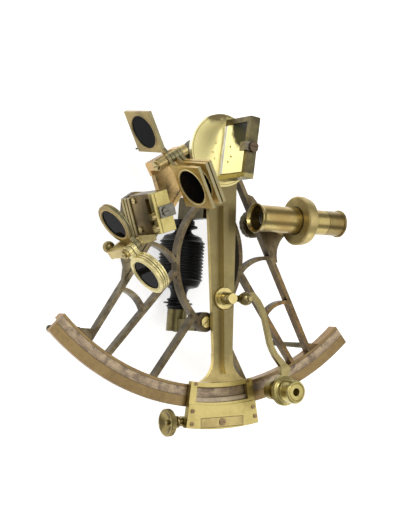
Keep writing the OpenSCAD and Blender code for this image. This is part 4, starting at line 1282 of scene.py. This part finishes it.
@dataclass
class SlowMotion(Assembly):
    """The clamp behind the arc and the tangent screw with its milled head."""

    refined = (("clamp_block", LIMB, 0.3), ("clamp_screw", SMALL, 0.2))
    below: float = 221.6
    depth: float = 2.6
    head_r: float = 11.2
    screw_r: float = 2.2
    thread_from: float = -28.4
    thread_to: float = 16.0
    thread_depth: float = 0.28
    pitch: float = 1.0

    def model(self) -> None:
        """Turns the tangent screw and mills its head."""
        k, r = self.head_r, self.screw_r
        profile = [(0.6, -50.2), (1.5, -50.2), (2.0, -49.7), (2.2, -47.2), (3.6, -47.0), (k - 2.2, -50.2),
                   (k - 1.9, -50.9), (k - 0.8, -50.9), (k - 0.2, -50.3),
                   (k - 0.2, -46.8), (k - 1, -46), (5.4, -44.4), (3.4, -43), (3.2, -41.6), (4.6, -41),
                   (5.2, -39.8), (4.6, -38.8), (3.4, -38.4), (2.9, -37.8), (2.9, -35.3), (r, -35.3),
                   (r, -30.7), (r + 0.5, -30.7), (r + 0.5, -29), (r, -29)]
        z = self.thread_from
        while z < self.thread_to:
            profile += [(r, z), (r - self.thread_depth, z + self.pitch / 4), (r, z + self.pitch / 2)]
            z += self.pitch
        profile += [(r, 17), (0.5, 18.0)]
        screw = turned("tangent_screw_turned", profile, 80, closed=False)
        knurl(screw, -50.3, -46.8, k - 0.2, 0.2)
        bevelled(screw, 0.12, 40.0)
        turn = math.radians(ARM_ANGLE)
        spot = (math.sin(turn) * self.below * MM, -math.cos(turn) * self.below * MM, STAND - self.depth * MM)
        place(screw, axis_place(spot, (math.cos(turn), math.sin(turn), 0.0)))
        self.shop.finish(screw, KNOB, "tangent", "tangent_screw")


@dataclass
class Studio:
    """Pale floor, soft lights and the camera."""

    lens: float = 90.4
    camera_at: Point = (-0.5851, -0.1596, 0.9438)
    azimuth: float = 33.33
    elevation: float = -3.86
    roll: float = 4.15
    floor_size: float = 9.0
    floor_glow: float = 0.62
    sky: float = 0.32
    paper: float = 0.93
    sensor: float = 36.0
    far: float = 50.0
    aim: Point = (0, -0.09, 0.06)
    lamps: tuple = (
        ("key", (-0.75, 0.75, 1.55), 0.35, 6.5), ("panel_right", (1.05, 0.22, 1.55), 1.5, 7.6),
        ("panel_left", (-1.15, 0.40, 1.50), 1.3, 4.8), ("overhead", (0.0, -0.6, 2.2), 1.6, 8.0),
        ("low_right", (1.05, -1.25, 0.42), 0.7, 2.3))  # name, place, side and power of each

    def floor(self) -> None:
        """Lays the pale floor in the plane of the feet."""
        deselect()
        bpy.ops.mesh.primitive_plane_add(size=self.floor_size, location=(0, 0, 0))
        floor = bpy.context.object
        floor.name = "floor"
        g = Surface("floor_paper")
        path = g.add("LightPath").outputs
        seen = g.math("MAXIMUM", g.math("MAXIMUM", path["Is Camera Ray"], path["Is Glossy Ray"]),
                      path["Is Transmission Ray"])
        g.fill(g.shader, {
            "Base Color": (self.paper,) * 3, "Roughness": 0.9, "Specular IOR Level": 0.1,
            "Emission Color": g.mix(seen, (0.0, 0.0, 0.0), (self.floor_glow,) * 3), "Emission Strength": 1.0,
        })
        floor.data.materials.append(g.material)

    def lamp(self, name: str, at: Point, size: float, power: float) -> None:
        """Adds a square soft lamp that looks at the sextant.

        Args:
            name: The lamp's name.
            at: Its place.
            size: Its side.
            power: Its power in watts.
        """
        data = bpy.data.lights.new(name, "AREA")
        data.shape, data.size, data.energy = "SQUARE", size, power
        lamp = bpy.data.objects.new(name, data)
        bpy.context.scene.collection.objects.link(lamp)
        lamp.location = at
        lamp.rotation_euler = (Vector(self.aim) - Vector(at)).to_track_quat("-Z", "Y").to_euler()

    def lights(self) -> None:
        """Lights the sextant from all round, with a small key from the upper left."""
        world = bpy.data.worlds.new("room")
        bpy.context.scene.world = world
        world.use_nodes = True
        g = Graph(world.node_tree)
        seen = g.add("LightPath").outputs["Is Camera Ray"]
        back = g.add("Background", {"Color": (1.0, 1.0, 1.0), "Strength": g.blend(seen, self.sky, 1.0)})
        g.add("OutputWorld", {0: back.outputs[0]})
        for lamp in self.lamps:
            self.lamp(*lamp)

    def camera(self) -> None:
        """Sets the camera by its place and its three angles."""
        az, el, roll = (math.radians(a) for a in (self.azimuth, self.elevation, self.roll))
        back = Vector((-math.sin(az) * math.cos(el), math.sin(el), math.cos(az) * math.cos(el)))
        right = (-back).cross(Vector((0, 1, 0))).normalized()
        up = right.cross(-back)
        side = math.cos(roll) * right + math.sin(roll) * up
        top = -math.sin(roll) * right + math.cos(roll) * up
        data = bpy.data.cameras.new("camera")
        data.lens, data.sensor_width, data.clip_end = self.lens, self.sensor, self.far
        camera = bpy.data.objects.new("camera", data)
        bpy.context.scene.collection.objects.link(camera)
        turn = Matrix((side, top, back)).transposed().to_4x4()
        camera.matrix_world = Matrix.Translation(self.camera_at) @ turn
        bpy.context.scene.camera = camera

    def build(self) -> None:
        """Builds the floor, lights and camera."""
        self.floor()
        self.lights()
        self.camera()
        bpy.context.scene.view_settings.view_transform = "Standard"


def main() -> None:
    """Builds the sextant's looks in order."""
    logging.basicConfig(level=logging.INFO, format="%(message)s")
    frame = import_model()
    shop = Shop(frame)
    for assembly in (Arc, Lattice, Grip, IndexArm, Shades, HorizonGlass, Telescope, Magnifier, SlowMotion):
        log.info("-- %s", assembly.__name__)
        assembly(shop).build()
    Studio().build()


if __name__ == "__main__":
    main()
